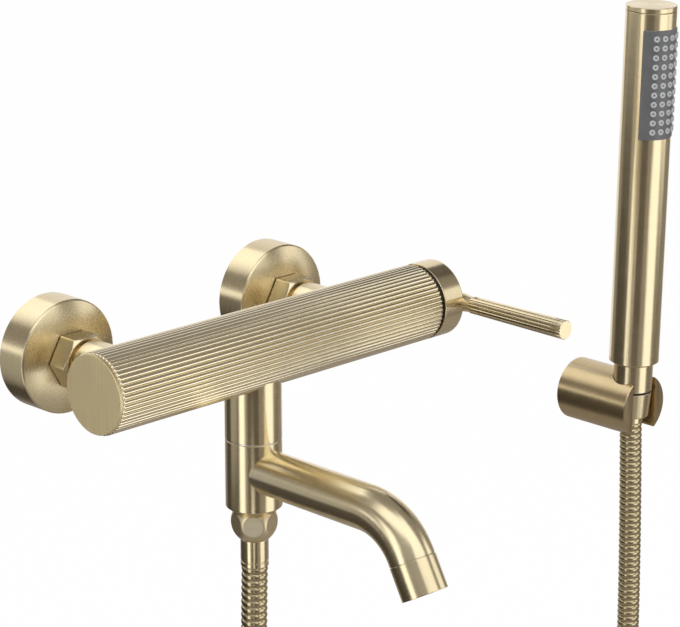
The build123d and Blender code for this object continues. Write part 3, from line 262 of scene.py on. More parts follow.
def ribbedHose(name):
    # a ring is carried along the line; its radius = valley + (crest - valley) * rib, once per pitch
    h = hoseSize
    path = hoseLine("hoseLine")
    length = np.concatenate([[0], np.cumsum(np.linalg.norm(np.diff(path, axis=0), axis=1))])
    ribs = int(round(length[-1] / (h["pitch"] * mm)))
    station = np.linspace(0, length[-1], ribs * len(h["rib"]) + 1)
    centre = np.stack([np.interp(station, length, path[:, k]) for k in range(3)], 1)
    ahead = np.gradient(centre, axis=0)
    kernel = np.ones(h["evenOver"]) / h["evenOver"]
    spare = h["evenOver"] // 2
    ahead = np.stack([np.convolve(np.pad(ahead[:, k], spare, mode="edge"), kernel, "valid") for k in range(3)], 1)
    ahead /= np.linalg.norm(ahead, axis=1)[:, None]
    side = np.array([0, 1.0, 0]) - ahead * ahead[:, 1:2]
    side /= np.linalg.norm(side, axis=1)[:, None]
    other = np.cross(ahead, side)
    rib = np.tile(h["rib"], ribs + 1)[: len(station)]
    # the two ends shrink to points inside the ferrules
    radius = np.concatenate([[0], h["valley"] + (h["crest"] - h["valley"]) * rib, [0]])
    angle = fullTurn(h["around"])
    ring = ended(side)[:, None] * np.cos(angle)[:, None] + ended(other)[:, None] * np.sin(angle)[:, None]
    points = ended(centre)[:, None] / mm + ring * radius[:, None, None]
    v = ended(ended(station))[1:]
    return meshPiece(name, points, grain=(grainRound(angle, h["crest"]), v), sharp=h["sharp"]), path


hose, hosePath = ribbedHose("hose")
print("hose drawn")


def effect(name, inputs, outputs):
    # a node group that several finishes share
    group = bpy.data.node_groups.new(name, "ShaderNodeTree")
    for label, kind, value in inputs:
        socket = group.interface.new_socket(label, in_out="INPUT", socket_type="NodeSocket" + kind)
        if value is not None:
            socket.default_value = value
    for label in outputs:
        group.interface.new_socket(label, in_out="OUTPUT", socket_type="NodeSocketFloat")
    return group, group.nodes.new("NodeGroupInput"), group.nodes.new("NodeGroupOutput")


def add(tree, kind, settings=None, values=None, links=None):
    # one node with its settings, its sockets' fixed values and its incoming links
    node = tree.nodes.new("ShaderNode" + kind)
    for key, value in (settings or {}).items():
        setattr(node, key, value)
    for key, value in (values or {}).items():
        node.inputs[key].default_value = value
    for key, source in (links or {}).items():
        tree.links.new(source, node.inputs[key])
    return node


def makeBrushGrain():
    # hairlines: noise squeezed hard across the brushing and drawn out along it, over a slow cloudiness
    tree, start, end = effect(
        "brushGrain",
        [("Place", "Vector", None), ("Along", "Float", 60.0), ("Across", "Float", 5000.0), ("Cloud", "Float", 90.0)],
        ["Hairs", "Clouds"])
    place, along, across, cloud = (start.outputs[label] for label in ("Place", "Along", "Across", "Cloud"))
    scale = add(tree, "CombineXYZ", links={0: along, 1: across, 2: across})
    drawn = add(tree, "VectorMath", {"operation": "MULTIPLY"}, links={0: place, 1: scale.outputs[0]})
    hairs = add(tree, "TexNoise", values={"Scale": 1.0, "Detail": 3.0, "Roughness": 0.6},
                links={"Vector": drawn.outputs[0]})
    clouds = add(tree, "TexNoise", values={"Detail": 4.0, "Roughness": 0.55}, links={"Vector": place, "Scale": cloud})
    tree.links.new(hairs.outputs[0], end.inputs["Hairs"])
    tree.links.new(clouds.outputs[0], end.inputs["Clouds"])
    return tree


def makePaintedEdgeHighlight():
    # a painted highlight on outer edges, a lighter colour there: the mesh's pointiness, broken up by the hairlines
    tree, start, end = effect(
        "edgeRub", [("Break", "Float", 0.5), ("Low", "Float", 0.53), ("High", "Float", 0.64)], ["Rubbed"])
    shape = add(tree, "NewGeometry")
    edge = add(tree, "MapRange", links={"Value": shape.outputs["Pointiness"], "From Min": start.outputs["Low"],
                                        "From Max": start.outputs["High"]})
    broken = add(tree, "Math", {"operation": "MULTIPLY"}, links={0: edge.outputs[0], 1: start.outputs["Break"]})
    tree.links.new(broken.outputs[0], end.inputs["Rubbed"])
    return tree


def makeMoulding():
    # the faint orange peel and dust of a moulded or rubbed-down surface
    tree, start, end = effect("moulding", [("Place", "Vector", None), ("Size", "Float", 900.0)], ["Peel", "Dust"])
    peel = add(tree, "TexNoise", values={"Detail": 2.0, "Roughness": 0.5},
               links={"Vector": start.outputs["Place"], "Scale": start.outputs["Size"]})
    dust = add(tree, "TexNoise", values={"Scale": 140.0, "Detail": 5.0, "Roughness": 0.65},
               links={"Vector": start.outputs["Place"]})
    tree.links.new(peel.outputs[0], end.inputs["Peel"])
    tree.links.new(dust.outputs[0], end.inputs["Dust"])
    return tree


brushGrain, edgeRub, moulding = makeBrushGrain(), makePaintedEdgeHighlight(), makeMoulding()

# the colour sockets of a Mix node, and how high hairlines and peel stand, in metres
mixFirst, mixSecond, mixOut = 6, 7, 2
hairHeight, peelHeight = 0.0000012, 0.0001


def newFinish(name):
    material = bpy.data.materials.new(name)
    material.use_nodes = True
    tree = material.node_tree
    return material, tree, tree.nodes["Principled BSDF"]


def twoTone(tree, finish, mask):
    # the finish's deep and light colours, mixed by a mask
    return add(tree, "Mix", {"data_type": "RGBA"},
               {mixFirst: (*finish["deep"], 1), mixSecond: (*finish["light"], 1)}, {"Factor": mask}).outputs[mixOut]


def unevenSurface(tree, shader, finish, mask, reach, height, tall):
    # the mask moves the gloss between the finish's two values, and the height gives the bump
    ends = dict(zip(("From Min", "From Max", "To Min", "To Max"), (*reach, *finish["gloss"])))
    rough = add(tree, "MapRange", values=ends, links={"Value": mask})
    tree.links.new(rough.outputs[0], shader.inputs["Roughness"])
    bump = add(tree, "Bump", values={"Strength": finish["bump"], "Distance": tall}, links={"Height": height})
    tree.links.new(bump.outputs[0], shader.inputs["Normal"])


def brushedMetal(name, finish):
    # metal brushed one way: hairlines move its tone, gloss and height, and outer edges get a painted highlight in a
    # lighter colour
    material, tree, shader = newFinish(name)
    if finish["uv"]:
        place = add(tree, "UVMap", {"uv_map": "grain"}).outputs[0]
        tangent = add(tree, "Tangent", {"direction_type": "UV_MAP", "uv_map": "grain"})
        tree.links.new(tangent.outputs[0], shader.inputs["Tangent"])
        shader.inputs["Anisotropic"].default_value = finish["oneWay"]
        shader.inputs["Anisotropic Rotation"].default_value = finish["turn"]
    else:
        place = add(tree, "TexCoord").outputs["Object"]
    grain = add(tree, "Group", {"node_tree": brushGrain},
                {label.title(): finish[label] for label in ("along", "across", "cloud")}, {"Place": place})
    hairs, clouds = grain.outputs["Hairs"], grain.outputs["Clouds"]
    # outer edges get a lighter colour from the mesh's pointiness: a painted highlight
    highlightMask = add(tree, "Group", {"node_tree": edgeRub}, links={"Break": hairs})
    withHighlight = add(tree, "Mix", {"data_type": "RGBA"}, {mixSecond: (*finish["rubbed"], 1)},
               {"Factor": highlightMask.outputs["Rubbed"], mixFirst: twoTone(tree, finish, hairs)})
    tree.links.new(withHighlight.outputs[mixOut], shader.inputs["Base Color"])
    both = add(tree, "Math", {"operation": "ADD"}, links={0: hairs, 1: clouds})
    unevenSurface(tree, shader, finish, both.outputs[0], (0.6, 1.4), hairs, hairHeight)
    shader.inputs["Metallic"].default_value = 1.0
    return material


def mouldedFinish(name, finish):
    # plastics, rubbers and the ceramic discs: one colour with dust, a faint peel and a slightly uneven gloss
    material, tree, shader = newFinish(name)
    solid = add(tree, "TexCoord").outputs["Object"]
    skin = add(tree, "Group", {"node_tree": moulding}, {"Size": finish["size"]}, {"Place": solid})
    dust = skin.outputs["Dust"]
    tree.links.new(twoTone(tree, finish, dust), shader.inputs["Base Color"])
    unevenSurface(tree, shader, finish, dust, (0.3, 0.7), skin.outputs["Peel"], peelHeight)
    return material


# Each metal says where it differs from the usual gold. along and across are how often the grain changes in a
# metre, oneWay is how far the brushing stretches the gloss, and uv lays the grain by the piece's own map; where
# it is False the grain is read through the solid.
# rubbed is the lighter colour of the painted highlight laid on outer edges
usualGold = {"deep": (0.73, 0.61, 0.38), "light": (0.84, 0.725, 0.48), "rubbed": (0.92, 0.86, 0.68), "uv": True,
             "along": 12.0, "across": 1800.0, "cloud": 90.0, "gloss": (0.21, 0.27), "bump": 0.12, "oneWay": 0.5,
             "turn": 0.25}
lengthways = {"along": 1800.0, "across": 12.0, "bump": 0.05, "oneWay": 0.0, "turn": 0.0}
solidGrain = {"uv": False, "along": 500.0, "across": 3000.0, "gloss": (0.2, 0.35), "bump": 0.15}
metals = {
    "goldRound": {},
    "goldPlate": {"across": 1500.0, "gloss": (0.25, 0.3), "bump": 0.04, "oneWay": 0.7},
    "goldRidged": {**lengthways, "deep": (0.82, 0.72, 0.50), "light": (0.92, 0.83, 0.61), "gloss": (0.10, 0.16)},
    "goldFace": {"deep": (0.70, 0.57, 0.31), "light": (0.96, 0.83, 0.52), "along": 14.0, "across": 1000.0,
                 "gloss": (0.34, 0.5), "bump": 0.2, "oneWay": 0.8},
    "goldSatin": {"across": 1500.0, "gloss": (0.33, 0.4), "oneWay": 0.3},
    "goldFluted": {**lengthways, "deep": (0.64, 0.54, 0.35), "light": (0.74, 0.64, 0.44), "gloss": (0.16, 0.22)},
    "goldSpout": {"deep": (0.78, 0.66, 0.42), "light": (0.87, 0.76, 0.52), "gloss": (0.22, 0.27), "bump": 0.05},
    "goldHolder": {"deep": (0.52, 0.40, 0.22), "light": (0.64, 0.51, 0.30), "across": 1500.0, "gloss": (0.26, 0.33)},
    "goldPlain": {**solidGrain, "along": 300.0, "across": 900.0, "gloss": (0.24, 0.3)},
    "hoseMetal": {"deep": (0.46, 0.38, 0.22), "light": (0.62, 0.53, 0.33), "rubbed": (0.8, 0.74, 0.58), "along": 60.0,
                  "across": 3000.0, "gloss": (0.16, 0.3), "bump": 0.2, "oneWay": 0.0, "turn": 0.0},
    "paleMetal": {**solidGrain, "deep": (0.72, 0.70, 0.66), "light": (0.84, 0.82, 0.78), "rubbed": (0.92, 0.92, 0.9),
                  "along": 300.0, "gloss": (0.18, 0.3), "bump": 0.1},
    "bareBrass": {**solidGrain, "deep": (0.60, 0.42, 0.16), "light": (0.74, 0.55, 0.25), "rubbed": (0.86, 0.7, 0.4),
                  "across": 2500.0, "gloss": (0.28, 0.45), "bump": 0.3},
    "steel": {**solidGrain, "deep": (0.45, 0.45, 0.46), "light": (0.62, 0.62, 0.63), "rubbed": (0.8, 0.8, 0.8)},
}
moulded = {
    "blackPlastic": {"deep": (0.002, 0.002, 0.002), "light": (0.005, 0.005, 0.004), "gloss": (0.4, 0.6),
                     "bump": 0.15, "size": 1200.0},
    "whitePlastic": {"deep": (0.72, 0.71, 0.68), "light": (0.82, 0.81, 0.79), "gloss": (0.35, 0.5),
                     "bump": 0.12, "size": 1000.0},
    "greyPlastic": {"deep": (0.11, 0.112, 0.116), "light": (0.165, 0.168, 0.172), "gloss": (0.3, 0.42),
                    "bump": 0.2, "size": 1800.0},
    "nozzleRubber": {"deep": (0.42, 0.43, 0.44), "light": (0.56, 0.57, 0.58), "gloss": (0.45, 0.6),
                     "bump": 0.15, "size": 1500.0},
    "sealRubber": {"deep": (0.012,) * 3, "light": (0.03,) * 3, "gloss": (0.55, 0.75), "bump": 0.3, "size": 1500.0},
    "ceramic": {"deep": (0.78, 0.76, 0.70), "light": (0.86, 0.84, 0.80), "gloss": (0.12, 0.22),
                "bump": 0.04, "size": 2500.0},
}
finishes = {name: brushedMetal(name, {**usualGold, **finish}) for name, finish in metals.items()}
finishes.update({name: mouldedFinish(name, finish) for name, finish in moulded.items()})
print("finishes made")

# every CAD node gets the finish named after its slot, or plain gold
plainSlots = ("brushed_gold", "hose_metal")
for part in frame["record"]["subparts"]:
    first, *rest = part["material_slot"].split("_")
    finish = "goldPlain" if part["material_slot"] in plainSlots else first + "".join(rest).title()
    for place in nodes[part["node"]].material_slots:
        place.material = finishes[finish]


def fit(piece, body, replaced, finish="goldRound", slotName="brushed_gold"):
    # the piece gets its finish, rides on its body and takes the place of its CAD node
    piece.data.materials.clear()
    piece.data.materials.append(finishes[finish])
    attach(piece, body)
    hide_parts(replaced)


def fitTurned(name, size, place):
    # a turned piece whose dictionary holds a profile of (along, radius, rounding) rows
    piece = turned(name, size["profile"], place, size.get("around", 120), size.get("loop", True))
    fit(piece, size["body"], size["replaces"], *size.get("finish", ()))


hose.data.materials.append(finishes["hoseMetal"])
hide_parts("hose_run_tap", "hose_coil", "hose_run_handset")
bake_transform(hose)

# the wall side: a plate, a nut and a tail at each of the two inlets
wallSides = {"left": -75.0, "right": 75.0}
plateSize = {"radius": 29.9, "depth": 18.4, "crown": 3.0, "hole": 12.05, "edge": 0.7, "lip": 0.4, "thick": 1.2,
             "steps": 15, "around": 180}


def wallPlate(name, place):
    # rim, small edge bevel and a face that rises as one minus the square of the way out from the hole
    p = plateSize
    inner, brim, top = p["radius"] - p["thick"], p["radius"] - p["edge"], p["depth"] + p["crown"]
    radii = np.linspace(brim, p["hole"] + p["lip"], p["steps"])[1:]
    out = (radii - p["hole"]) / (brim - p["hole"])
    face = [(a, r, 0) for a, r in zip(p["depth"] + p["crown"] * (1 - out ** 2), radii)]
    corners = [(0, p["radius"], 0.2), (p["depth"] - p["edge"], p["radius"], 0.3), (p["depth"], brim, 0.3), *face,
               (top, p["hole"], 0.15), (top - p["thick"], p["hole"], 0.1), (p["depth"] - p["thick"], inner, 0.2),
               (0, inner, 0.1)]
    return turned(name, corners, place, p["around"], loop=True)


# angles are where one side of the hexagon gets its points, in degrees from its middle
nutSize = {"flats": 27.0, "corner": 15.42, "start": 22.0, "end": 34.0, "cone": (1.3, 2.19, 15.59), "seat": 12.0,
           "hole": 10.0, "counterbore": 2.5, "grainRadius": 13, "grainEnd": 60, "sharp": 40.0,
           "angles": [-30, -29.3, -28.4, -27, -22, -15, -7, 0, 7, 15, 22, 27, 28.4, 29.3]}


def wallNut(name, x):
    # a hexagon with a corner up; a cone turns off its front and meets each flat in an arc, at
    # along = end - rise + (cone radius - hexagon) * rise / reach
    n = nutSize
    angle = np.concatenate([np.radians(n["angles"]) + k * pi / 3 for k in range(6)])
    hexagon = hexRadius(angle, n["flats"], n["corner"])
    rise, reach, coneRadius = n["cone"]
    start, end = n["start"], n["end"]
    meet = end - rise + (coneRadius - hexagon) * rise / reach
    rows = [(start, n["seat"]), (start, hexagon - 0.35), (start, hexagon - 0.25), (start + 0.25, hexagon),
            (start + 0.5, hexagon), (meet - 0.35, hexagon), (meet - 0.1, hexagon - 0.015),
            (meet + 0.1, hexagon - 0.19), (meet + 0.25, hexagon - 0.42), (end - 0.18, 13.7), (end, 13.35), (end, 13.0),
            (end, n["hole"] + 0.3), (end - 0.3, n["hole"]), (end - n["counterbore"], n["hole"]),
            (end - n["counterbore"], n["seat"])]
    return turnedRows(name, rows, angle, ((x, 0, 0), (0, -1, 0), (0, 0, 1)), n)


tailSize = {"body": "base", "profile": [
    (28.5, 6.0), (28.5, 11.6), (31.4, 11.6), (31.4, 9.7), (36.0, 9.7, 0.3), (36.0, 12.8, 1.5), (61.0, 12.8),
    (61.0, 9.0), (64.0, 9.0), (64.0, 6.0)]}
for sideName, x in wallSides.items():
    place = ((x, 0, 0), (0, -1, 0), (1, 0, 0))
    fit(wallPlate("plate" + sideName.title(), place), "base", "escutcheon_" + sideName, "goldPlate")
    fit(wallNut("nut" + sideName.title(), x), "base", "union_nut_" + sideName, "goldSpout")
    fitTurned("tail" + sideName.title(), {**tailSize, "replaces": "inlet_tail_" + sideName}, place)
print("wall side made")

bodyPlace = ((0, -75, 0), (1, 0, 0), (0, 1, 0))
bodySize = {"start": -104.0, "end": 120.6, "crest": 21.0, "edge": 0.2, "valley": 20.2, "ridges": 52,
            "ridgeRadius": 1.33, "ridgeCentre": 19.67, "perRidge": 14, "ridgedFrom": 20.6, "face": 19.0,
            "bore": 18.0, "boreFloor": 88.0, "sharp": 50.0}


def ridgedBody(name):
    # radius(angle) = the valley, or the outer side of the nearest ridge's circle where that stands higher
    b = bodySize
    angle = fullTurn(b["ridges"] * b["perRidge"])
    off = fold(angle, b["ridges"])
    reach = b["ridgeRadius"] ** 2 - (b["ridgeCentre"] * np.sin(off)) ** 2
    ridge = np.maximum(b["valley"], b["ridgeCentre"] * np.cos(off) + np.sqrt(np.maximum(reach, 0)))

    def shape(along, radius, turn):
        return along, np.where(radius > b["ridgedFrom"], ridge + radius - b["crest"], radius)

    start, end, crest, rim = b["start"], b["end"], b["crest"], b["crest"] - b["edge"]
    corners = [(start, 0), (start, b["face"], 0), (start, rim, 0), (start + b["edge"], crest, 0),
               (start + 1, crest, 0), (0, crest, 0), (end - 1, crest, 0), (end - b["edge"], crest, 0), (end, rim, 0),
               (end, b["face"], 0), (end, b["bore"], 0.1), (b["boreFloor"], b["bore"], 0.1), (b["boreFloor"], 0)]
    return turned(name, corners, bodyPlace, shape=shape, angle=angle, sharp=b["sharp"])


discSize = {"face": -106.5, "crown": 0.55, "radius": 20.3, "back": -104.0, "stem": 9.0, "stemEnd": -98.0,
            "steps": (3, 6, 9, 12, 15, 18), "around": 160}


def endDisc(name):
    # a disc on a stem; its face falls away by the crown times the square of the way out
    d = discSize
    crown = [(d["face"] + d["crown"] * (r / d["radius"]) ** 2, r, 0) for r in d["steps"]]
    corners = [(d["face"], 0), *crown, (d["face"] + d["crown"], d["radius"], 0.3), (d["back"], d["radius"], 0.1),
               (d["back"], d["stem"]), (d["stemEnd"], d["stem"]), (d["stemEnd"], 0)]
    disc = turned(name, corners, bodyPlace, d["around"])
    # its brushing is straight: u is the height and v the way out from the wall
    disc.data.uv_layers["grain"].data.foreach_set("uv", meshPlaces(disc.data)[:, [2, 1]].ravel())
    return disc


fit(ridgedBody("ridgedBody"), "base", "mixer_body", "goldRidged")
fit(endDisc("endDisc"), "base", "end_disc", "goldFace")

capSize = {"back": 122.8, "side": 13.8, "radius": 21.0, "dome": 8.7, "domeSteps": 22, "cavity": 18.0,
           "cavityDepth": 10.2, "reliefStart": 121.6, "relief": 18.0, "edge": 0.7, "skin": 0.75, "centre": 5,
           "around": 200}


def leverCap(name):
    # a domed cap; its back edge lies at the larger of a flat plane and a plane tilted away on the wall side
    c = capSize
    domeRadius = (c["radius"] ** 2 + c["dome"] ** 2) / (2 * c["dome"])
    rim, floor = c["back"] + c["side"], c["back"] + c["cavityDepth"]
    tip = rim + c["dome"]
    tilt = np.linspace(np.arcsin(c["radius"] / domeRadius), 0, c["domeSteps"])[1:-1]
    dome = [(tip - domeRadius + domeRadius * cos(t), domeRadius * sin(t), 0) for t in tilt]
    corners = [(floor, 0), (floor, c["cavity"], 0.2), (c["back"], c["cavity"], 0.15), (c["back"], c["radius"], 0.35),
               (rim, c["radius"], 0.5), *dome, (tip, 0)]

    def shape(along, radius, turn):
        edge = c["reliefStart"] + radius * np.cos(turn) * tan(radians(c["relief"]))
        back = np.maximum(c["back"], edge)
        inside = np.maximum(along, back + c["skin"] * (radius > c["centre"]))
        return np.where(along < c["back"] + c["edge"], back + (along - c["back"]), inside), radius

    return turned(name, corners, bodyPlace, count=c["around"], shape=shape)


leverPlace = ((139.5, -75, 0), (0, -1, 0), (1, 0, 0))
neckSize = {"body": "lever", "replaces": "lever_neck", "around": 72, "loop": False, "profile": [
    (3.2, 0), (3.2, 3.0), (13, 3.0), (13, 5.0), (18, 5.0, 0.6), (25.5, 4.0), (25.5, 2.4), (35.5, 2.4), (35.5, 0)]}
stickSize = {"start": 25.5, "end": 91.3, "startRadius": 4.7, "endRadius": 5.2, "edge": 0.18, "bore": 2.4,
             "boreFloor": 35.5, "face": 3.0, "flutes": 16, "flute": 0.62, "sunk": 0.35, "perFlute": 22,
             "screwAt": 28.1, "screwRadius": 1.4, "screwFloor": 3.9, "sharp": 38.0}


def leverStick(name):
    # radius(along, angle) = the slow taper, less the flutes' circles, less the locking screw's round pocket
    s = stickSize
    start, end = s["start"], s["end"]
    angle = fullTurn(s["flutes"] * s["perFlute"])
    off = fold(angle, s["flutes"])
    # these two radii only mark the rows that lie on the fluted skin and those a little inside it
    onSkin, inside = 6.0, 5.8
    nearScrew = np.linspace(start + 0.5, s["screwAt"] + 2.2, 34)
    outer = [(a, onSkin, 0) for a in (start + 0.15, *nearScrew, *np.linspace(34, end - 0.2, 8))]
    corners = [(s["boreFloor"], 0), (s["boreFloor"], s["bore"], 0), (start, s["bore"], 0), (start, inside, 0), *outer,
               (end, inside, 0), (end, s["face"], 0), (end, 0)]

    def shape(along, radius, turn):
        taper = s["startRadius"] + (s["endRadius"] - s["startRadius"]) * (along - start) / (end - start)
        centre = taper + s["flute"] * s["sunk"]
        reach = s["flute"] ** 2 - (centre * np.sin(off)) ** 2
        fluted = np.where(reach > 0, centre * np.cos(off) - np.sqrt(np.maximum(reach, 0)), taper)
        skin = np.minimum(taper, fluted)
        away = np.hypot(along - s["screwAt"], skin * np.cos(turn))
        # the pocket's floor is flat; 99 leaves the skin alone outside it
        pocket = np.where((away < s["screwRadius"]) & (np.sin(turn) > 0),
                          s["screwFloor"] / np.maximum(np.sin(turn), 0.5), 99)
        skin = np.minimum(skin, pocket)
        return along, np.where(radius == onSkin, skin, np.where(radius == inside, skin - s["edge"], radius))

    return turned(name, corners, leverPlace, shape=shape, angle=angle, sharp=s["sharp"])


fit(leverCap("leverCap"), "lever", "lever_cap")
fitTurned("leverNeck", neckSize, leverPlace)
fit(leverStick("leverStick"), "lever", "lever_stick", "goldFluted")
print("body and lever made")

downPlace = ((0, -75, 0), (0, 0, -1), (1, 0, 0))
columnSize = {"body": "base", "replaces": "outlet_column", "profile": [
    (10.5, 6), (10.5, 9), (14.5, 9), (14.5, 14.95), (47.2, 14.95, 0.35), (47.2, 10.4), (35.2, 10.4), (35.2, 6)]}
hubSize = {"body": "spout", "replaces": "spout_hub", "profile": [
    (47.76, 11.0), (47.76, 14.9, 0.35), (84.6, 14.9, 0.3), (87, 11.9, 0.2), (87, 11.0)]}
spoutSize = {"z": -64.2, "radius": 11.9, "wall": 1.5, "bendStart": -158.0, "bendRadius": 35.0, "bend": 60.7,
             "tail": 1.5, "hub": 14.85, "root": 30, "steps": 40, "around": 120, "lip": (0.015, 0.12),
             "grainEnd": 300, "sharp": 40.0}


def spoutTube(name):
    # a ring carried along a level run, an arc and a short tail; the first ring is saddled onto the hub, at
    # y = -75 - sqrt(hub * hub - x * x). The tube's end gives the sleeve its place
    s = spoutSize
    bend = radians(s["bend"])
    beta = np.concatenate([[0.0], np.linspace(0, bend, s["steps"]), [bend]])
    level = np.concatenate([[s["bendStart"] + s["root"]], np.full(s["steps"] + 1, s["bendStart"])])
    y = level - s["bendRadius"] * np.sin(beta)
    z = s["z"] - s["bendRadius"] + s["bendRadius"] * np.cos(beta)
    y[-1] -= s["tail"] * cos(bend)
    z[-1] -= s["tail"] * sin(bend)
    angle = fullTurn(s["around"])

    def skin(radius, order):
        x, height = radius * np.cos(angle), radius * np.sin(angle)
        ring = np.stack([np.repeat(x[None], len(y), 0), y[:, None] - np.sin(beta)[:, None] * height,
                         z[:, None] + np.cos(beta)[:, None] * height], -1)
        first = np.stack([x, -75 - np.sqrt(s["hub"] ** 2 - x ** 2), s["z"] + height], -1)
        return np.concatenate([first[None], ring])[::order]

    # the lip draws the last ring in a little and pushes it out
    drawIn, pushOut = s["lip"]
    outer = skin(s["radius"], 1)
    ahead = outer[-1:] - outer[-2:-1]
    lip = outer[-1:] * (1 - drawIn) + np.array([0, y[-1], z[-1]]) * drawIn
    lip += ahead / np.linalg.norm(ahead, axis=-1, keepdims=True) * pushOut
    points = np.concatenate([outer, lip, skin(s["radius"] - s["wall"], -1)])
    steps = np.linalg.norm(np.diff(points.mean(1), axis=0), axis=1)
    grain = grainRound(angle, s["radius"]), grainAlong(steps, s["grainEnd"])
    outletPlace = ((0, y[-1], z[-1]), (0, -cos(bend), -sin(bend)), (1, 0, 0))
    return meshPiece(name, points, loop=True, grain=grain, sharp=s["sharp"]), outletPlace


sleeveSize = {"body": "spout", "replaces": "aerator_sleeve", "profile": [
    (-1.3, 9.2), (-1.3, 10.4, 0), (0.02, 10.4, 0), (0.02, 11.3, 0), (0.3, 11.3, 0), (0.3, 12.05, 0.25),
    (18.2, 12.05, 0.3), (18.2, 10.55, 0.3), (1.5, 10.55), (1.5, 9.2)]}
fitTurned("outletColumn", columnSize, downPlace)
fitTurned("spoutHub", hubSize, downPlace)
tube, outletPlace = spoutTube("spoutTube")
fit(tube, "spout", "spout_tube", "goldSpout")
fitTurned("outletSleeve", sleeveSize, outletPlace)
print("spout made")

ballNut = {"flats": 22.0, "turn": 15.0, "ball": 12.3, "ballAt": 93.61, "soft": 0.12, "top": 88.01, "bottom": 103.01,
           "edge": 0.15, "bore": 9.9, "mouth": 6.7, "throat": (6.55, 101.66), "seat": (9.35, 99.06), "steps": 56,
           "around": 240, "grainRadius": 12, "grainEnd": 50, "sharp": 50.0}


def hoseNut(name):
    # radius(along, angle) = the smaller of a hexagon and a ball, with the edge between them rounded
    n = ballNut
    angle = fullTurn(n["around"])
    along = np.linspace(n["top"] + n["edge"], n["bottom"] - n["edge"], n["steps"])
    ball = np.sqrt(n["ball"] ** 2 - (along - n["ballAt"]) ** 2)
    flats = hexRadius(angle - radians(n["turn"]), n["flats"])
    skin = softMinimum(ball[:, None], flats[None, :], n["soft"])
    (throat, throatAt), (seat, seatAt) = n["throat"], n["seat"]
    rows = [(n["top"], n["bore"]), (n["top"], skin[0] - n["edge"]), *zip(along, skin),
            (n["bottom"], skin[-1] - n["edge"]), (n["bottom"], n["mouth"]), (n["bottom"] - n["edge"], throat),
            (throatAt, throat), (seatAt, seat), (seatAt, n["bore"])]
    return turnedRows(name, rows, angle, downPlace, n)


ferruleTap = {"body": "base", "replaces": "hose_ferrule_tap", "around": 96, "profile": [
    (98.06, 4.2), (98.06, 9.2), (99.06, 9.2), (101.66, 6.4), (103.31, 6.4), (103.31, 7.4, 0.3), (115.01, 7.4, 0.1),
    (115.21, 7.0, 0.05), (115.81, 7.0, 0.05), (116.01, 7.4, 0.1), (118.41, 7.4, 0.4), (118.41, 4.2)]}
fit(hoseNut("hoseNutTap"), "base", "hose_nut_tap", "goldSatin")
fitTurned("ferruleTap", ferruleTap, downPlace)

# the hand shower leans a little; its turned pieces, from the hose up
lean = radians(1.2)
showerPlace = ((349.7, -44.2, -119.0), (0, -sin(lean), cos(lean)), (1, 0, 0))
showerPieces = {
    "ferruleHandset": {"body": "hose_end", "replaces": "hose_ferrule_handset", "around": 96, "profile": [
        (-11.8, 4.2), (-11.8, 7.3, 0.3), (-7.7, 7.3, 0.15), (-7.7, 6.3), (-5.2, 6.3), (-2.6, 9.1), (-1.65, 9.1),
        (-1.65, 4.2)]},
    "coneNut": {"body": "hand_shower", "replaces": "hose_nut_handset", "profile": [
        (-7.4, 6.55), (-7.4, 10.6, 0.5), (8.6, 12.0, 0.3), (8.6, 9.9), (-2.6, 9.9), (-2.6, 9.35), (-5.2, 6.55)]},
    "jointRing": {"body": "hand_shower", "replaces": "connector_ring", "finish": ("blackPlastic", "black_plastic"),
                  "around": 96, "profile": [(8.6, 10.0), (8.6, 12.05, 0.15), (9.9, 12.05, 0.15), (9.9, 10.0)]},
    "connector": {"body": "hand_shower", "replaces": "handset_connector", "profile": [
        (0, 5.5), (0, 9.9), (9.9, 9.9), (9.9, 12.15, 0.3), (26.9, 12.15, 0.1), (27.0, 11.4, 0.1), (28.4, 11.4, 0.1),
        (28.5, 13.95), (37.5, 13.95), (37.5, 5.5)]},
    "showerTube": {"body": "hand_shower", "replaces": "handset_tube", "around": 160, "profile": [
        (28.5, 13.95, 0.1), (28.5, 15.45, 0.3), (247.7, 15.45, 0.2), (247.7, 13.95, 0.1)]},
    "showerCap": {"body": "hand_shower", "replaces": "handset_cap", "around": 160, "loop": False, "profile": [
        (240, 0), (240, 13.95), (248, 13.95), (248, 15.45, 0.2), (251, 15.45, 0.4), (251, 0)]},
}
for name, size in showerPieces.items():
    fitTurned(name, size, showerPlace)
print("hand shower tube made")

# lengths here are in metres, angles in degrees
holderSize = {"x": 0.3497, "z": -0.119, "grainRadius": 0.0195, "flatWithin": 0.6, "sharp": 28, "edge": 0.00025,
              "easeOver": 35}


def holderShell(name):
    # the holder's own solid, merged, with its edges eased; the grain's u runs round the bar, v along it
    h = holderSize
    mesh = nodes["holder_body"].data.copy()
    mesh.name = name
    mesh.materials.clear()
    if "custom_normal" in mesh.attributes:
        mesh.attributes.remove(mesh.attributes["custom_normal"])
    while mesh.uv_layers:
        mesh.uv_layers.remove(mesh.uv_layers[0])
    piece = finishMesh(name, mesh, h["sharp"], h["flatWithin"])
    x, y, z = meshPlaces(mesh).T
    turn = np.arctan2(z - h["z"], x - h["x"])
    mesh.uv_layers.new(name="grain").data.foreach_set("uv", np.stack([turn * h["grainRadius"], y], 1).ravel())
    eased = piece.modifiers.new("eased", "BEVEL")
    eased.width = h["edge"]
    eased.segments = 2
    eased.limit_method = "ANGLE"
    eased.angle_limit = radians(h["easeOver"])
    eased.harden_normals = True
    return piece


fit(holderShell("holderBody"), "base", "holder_body", "goldHolder")
print("wall holder made")

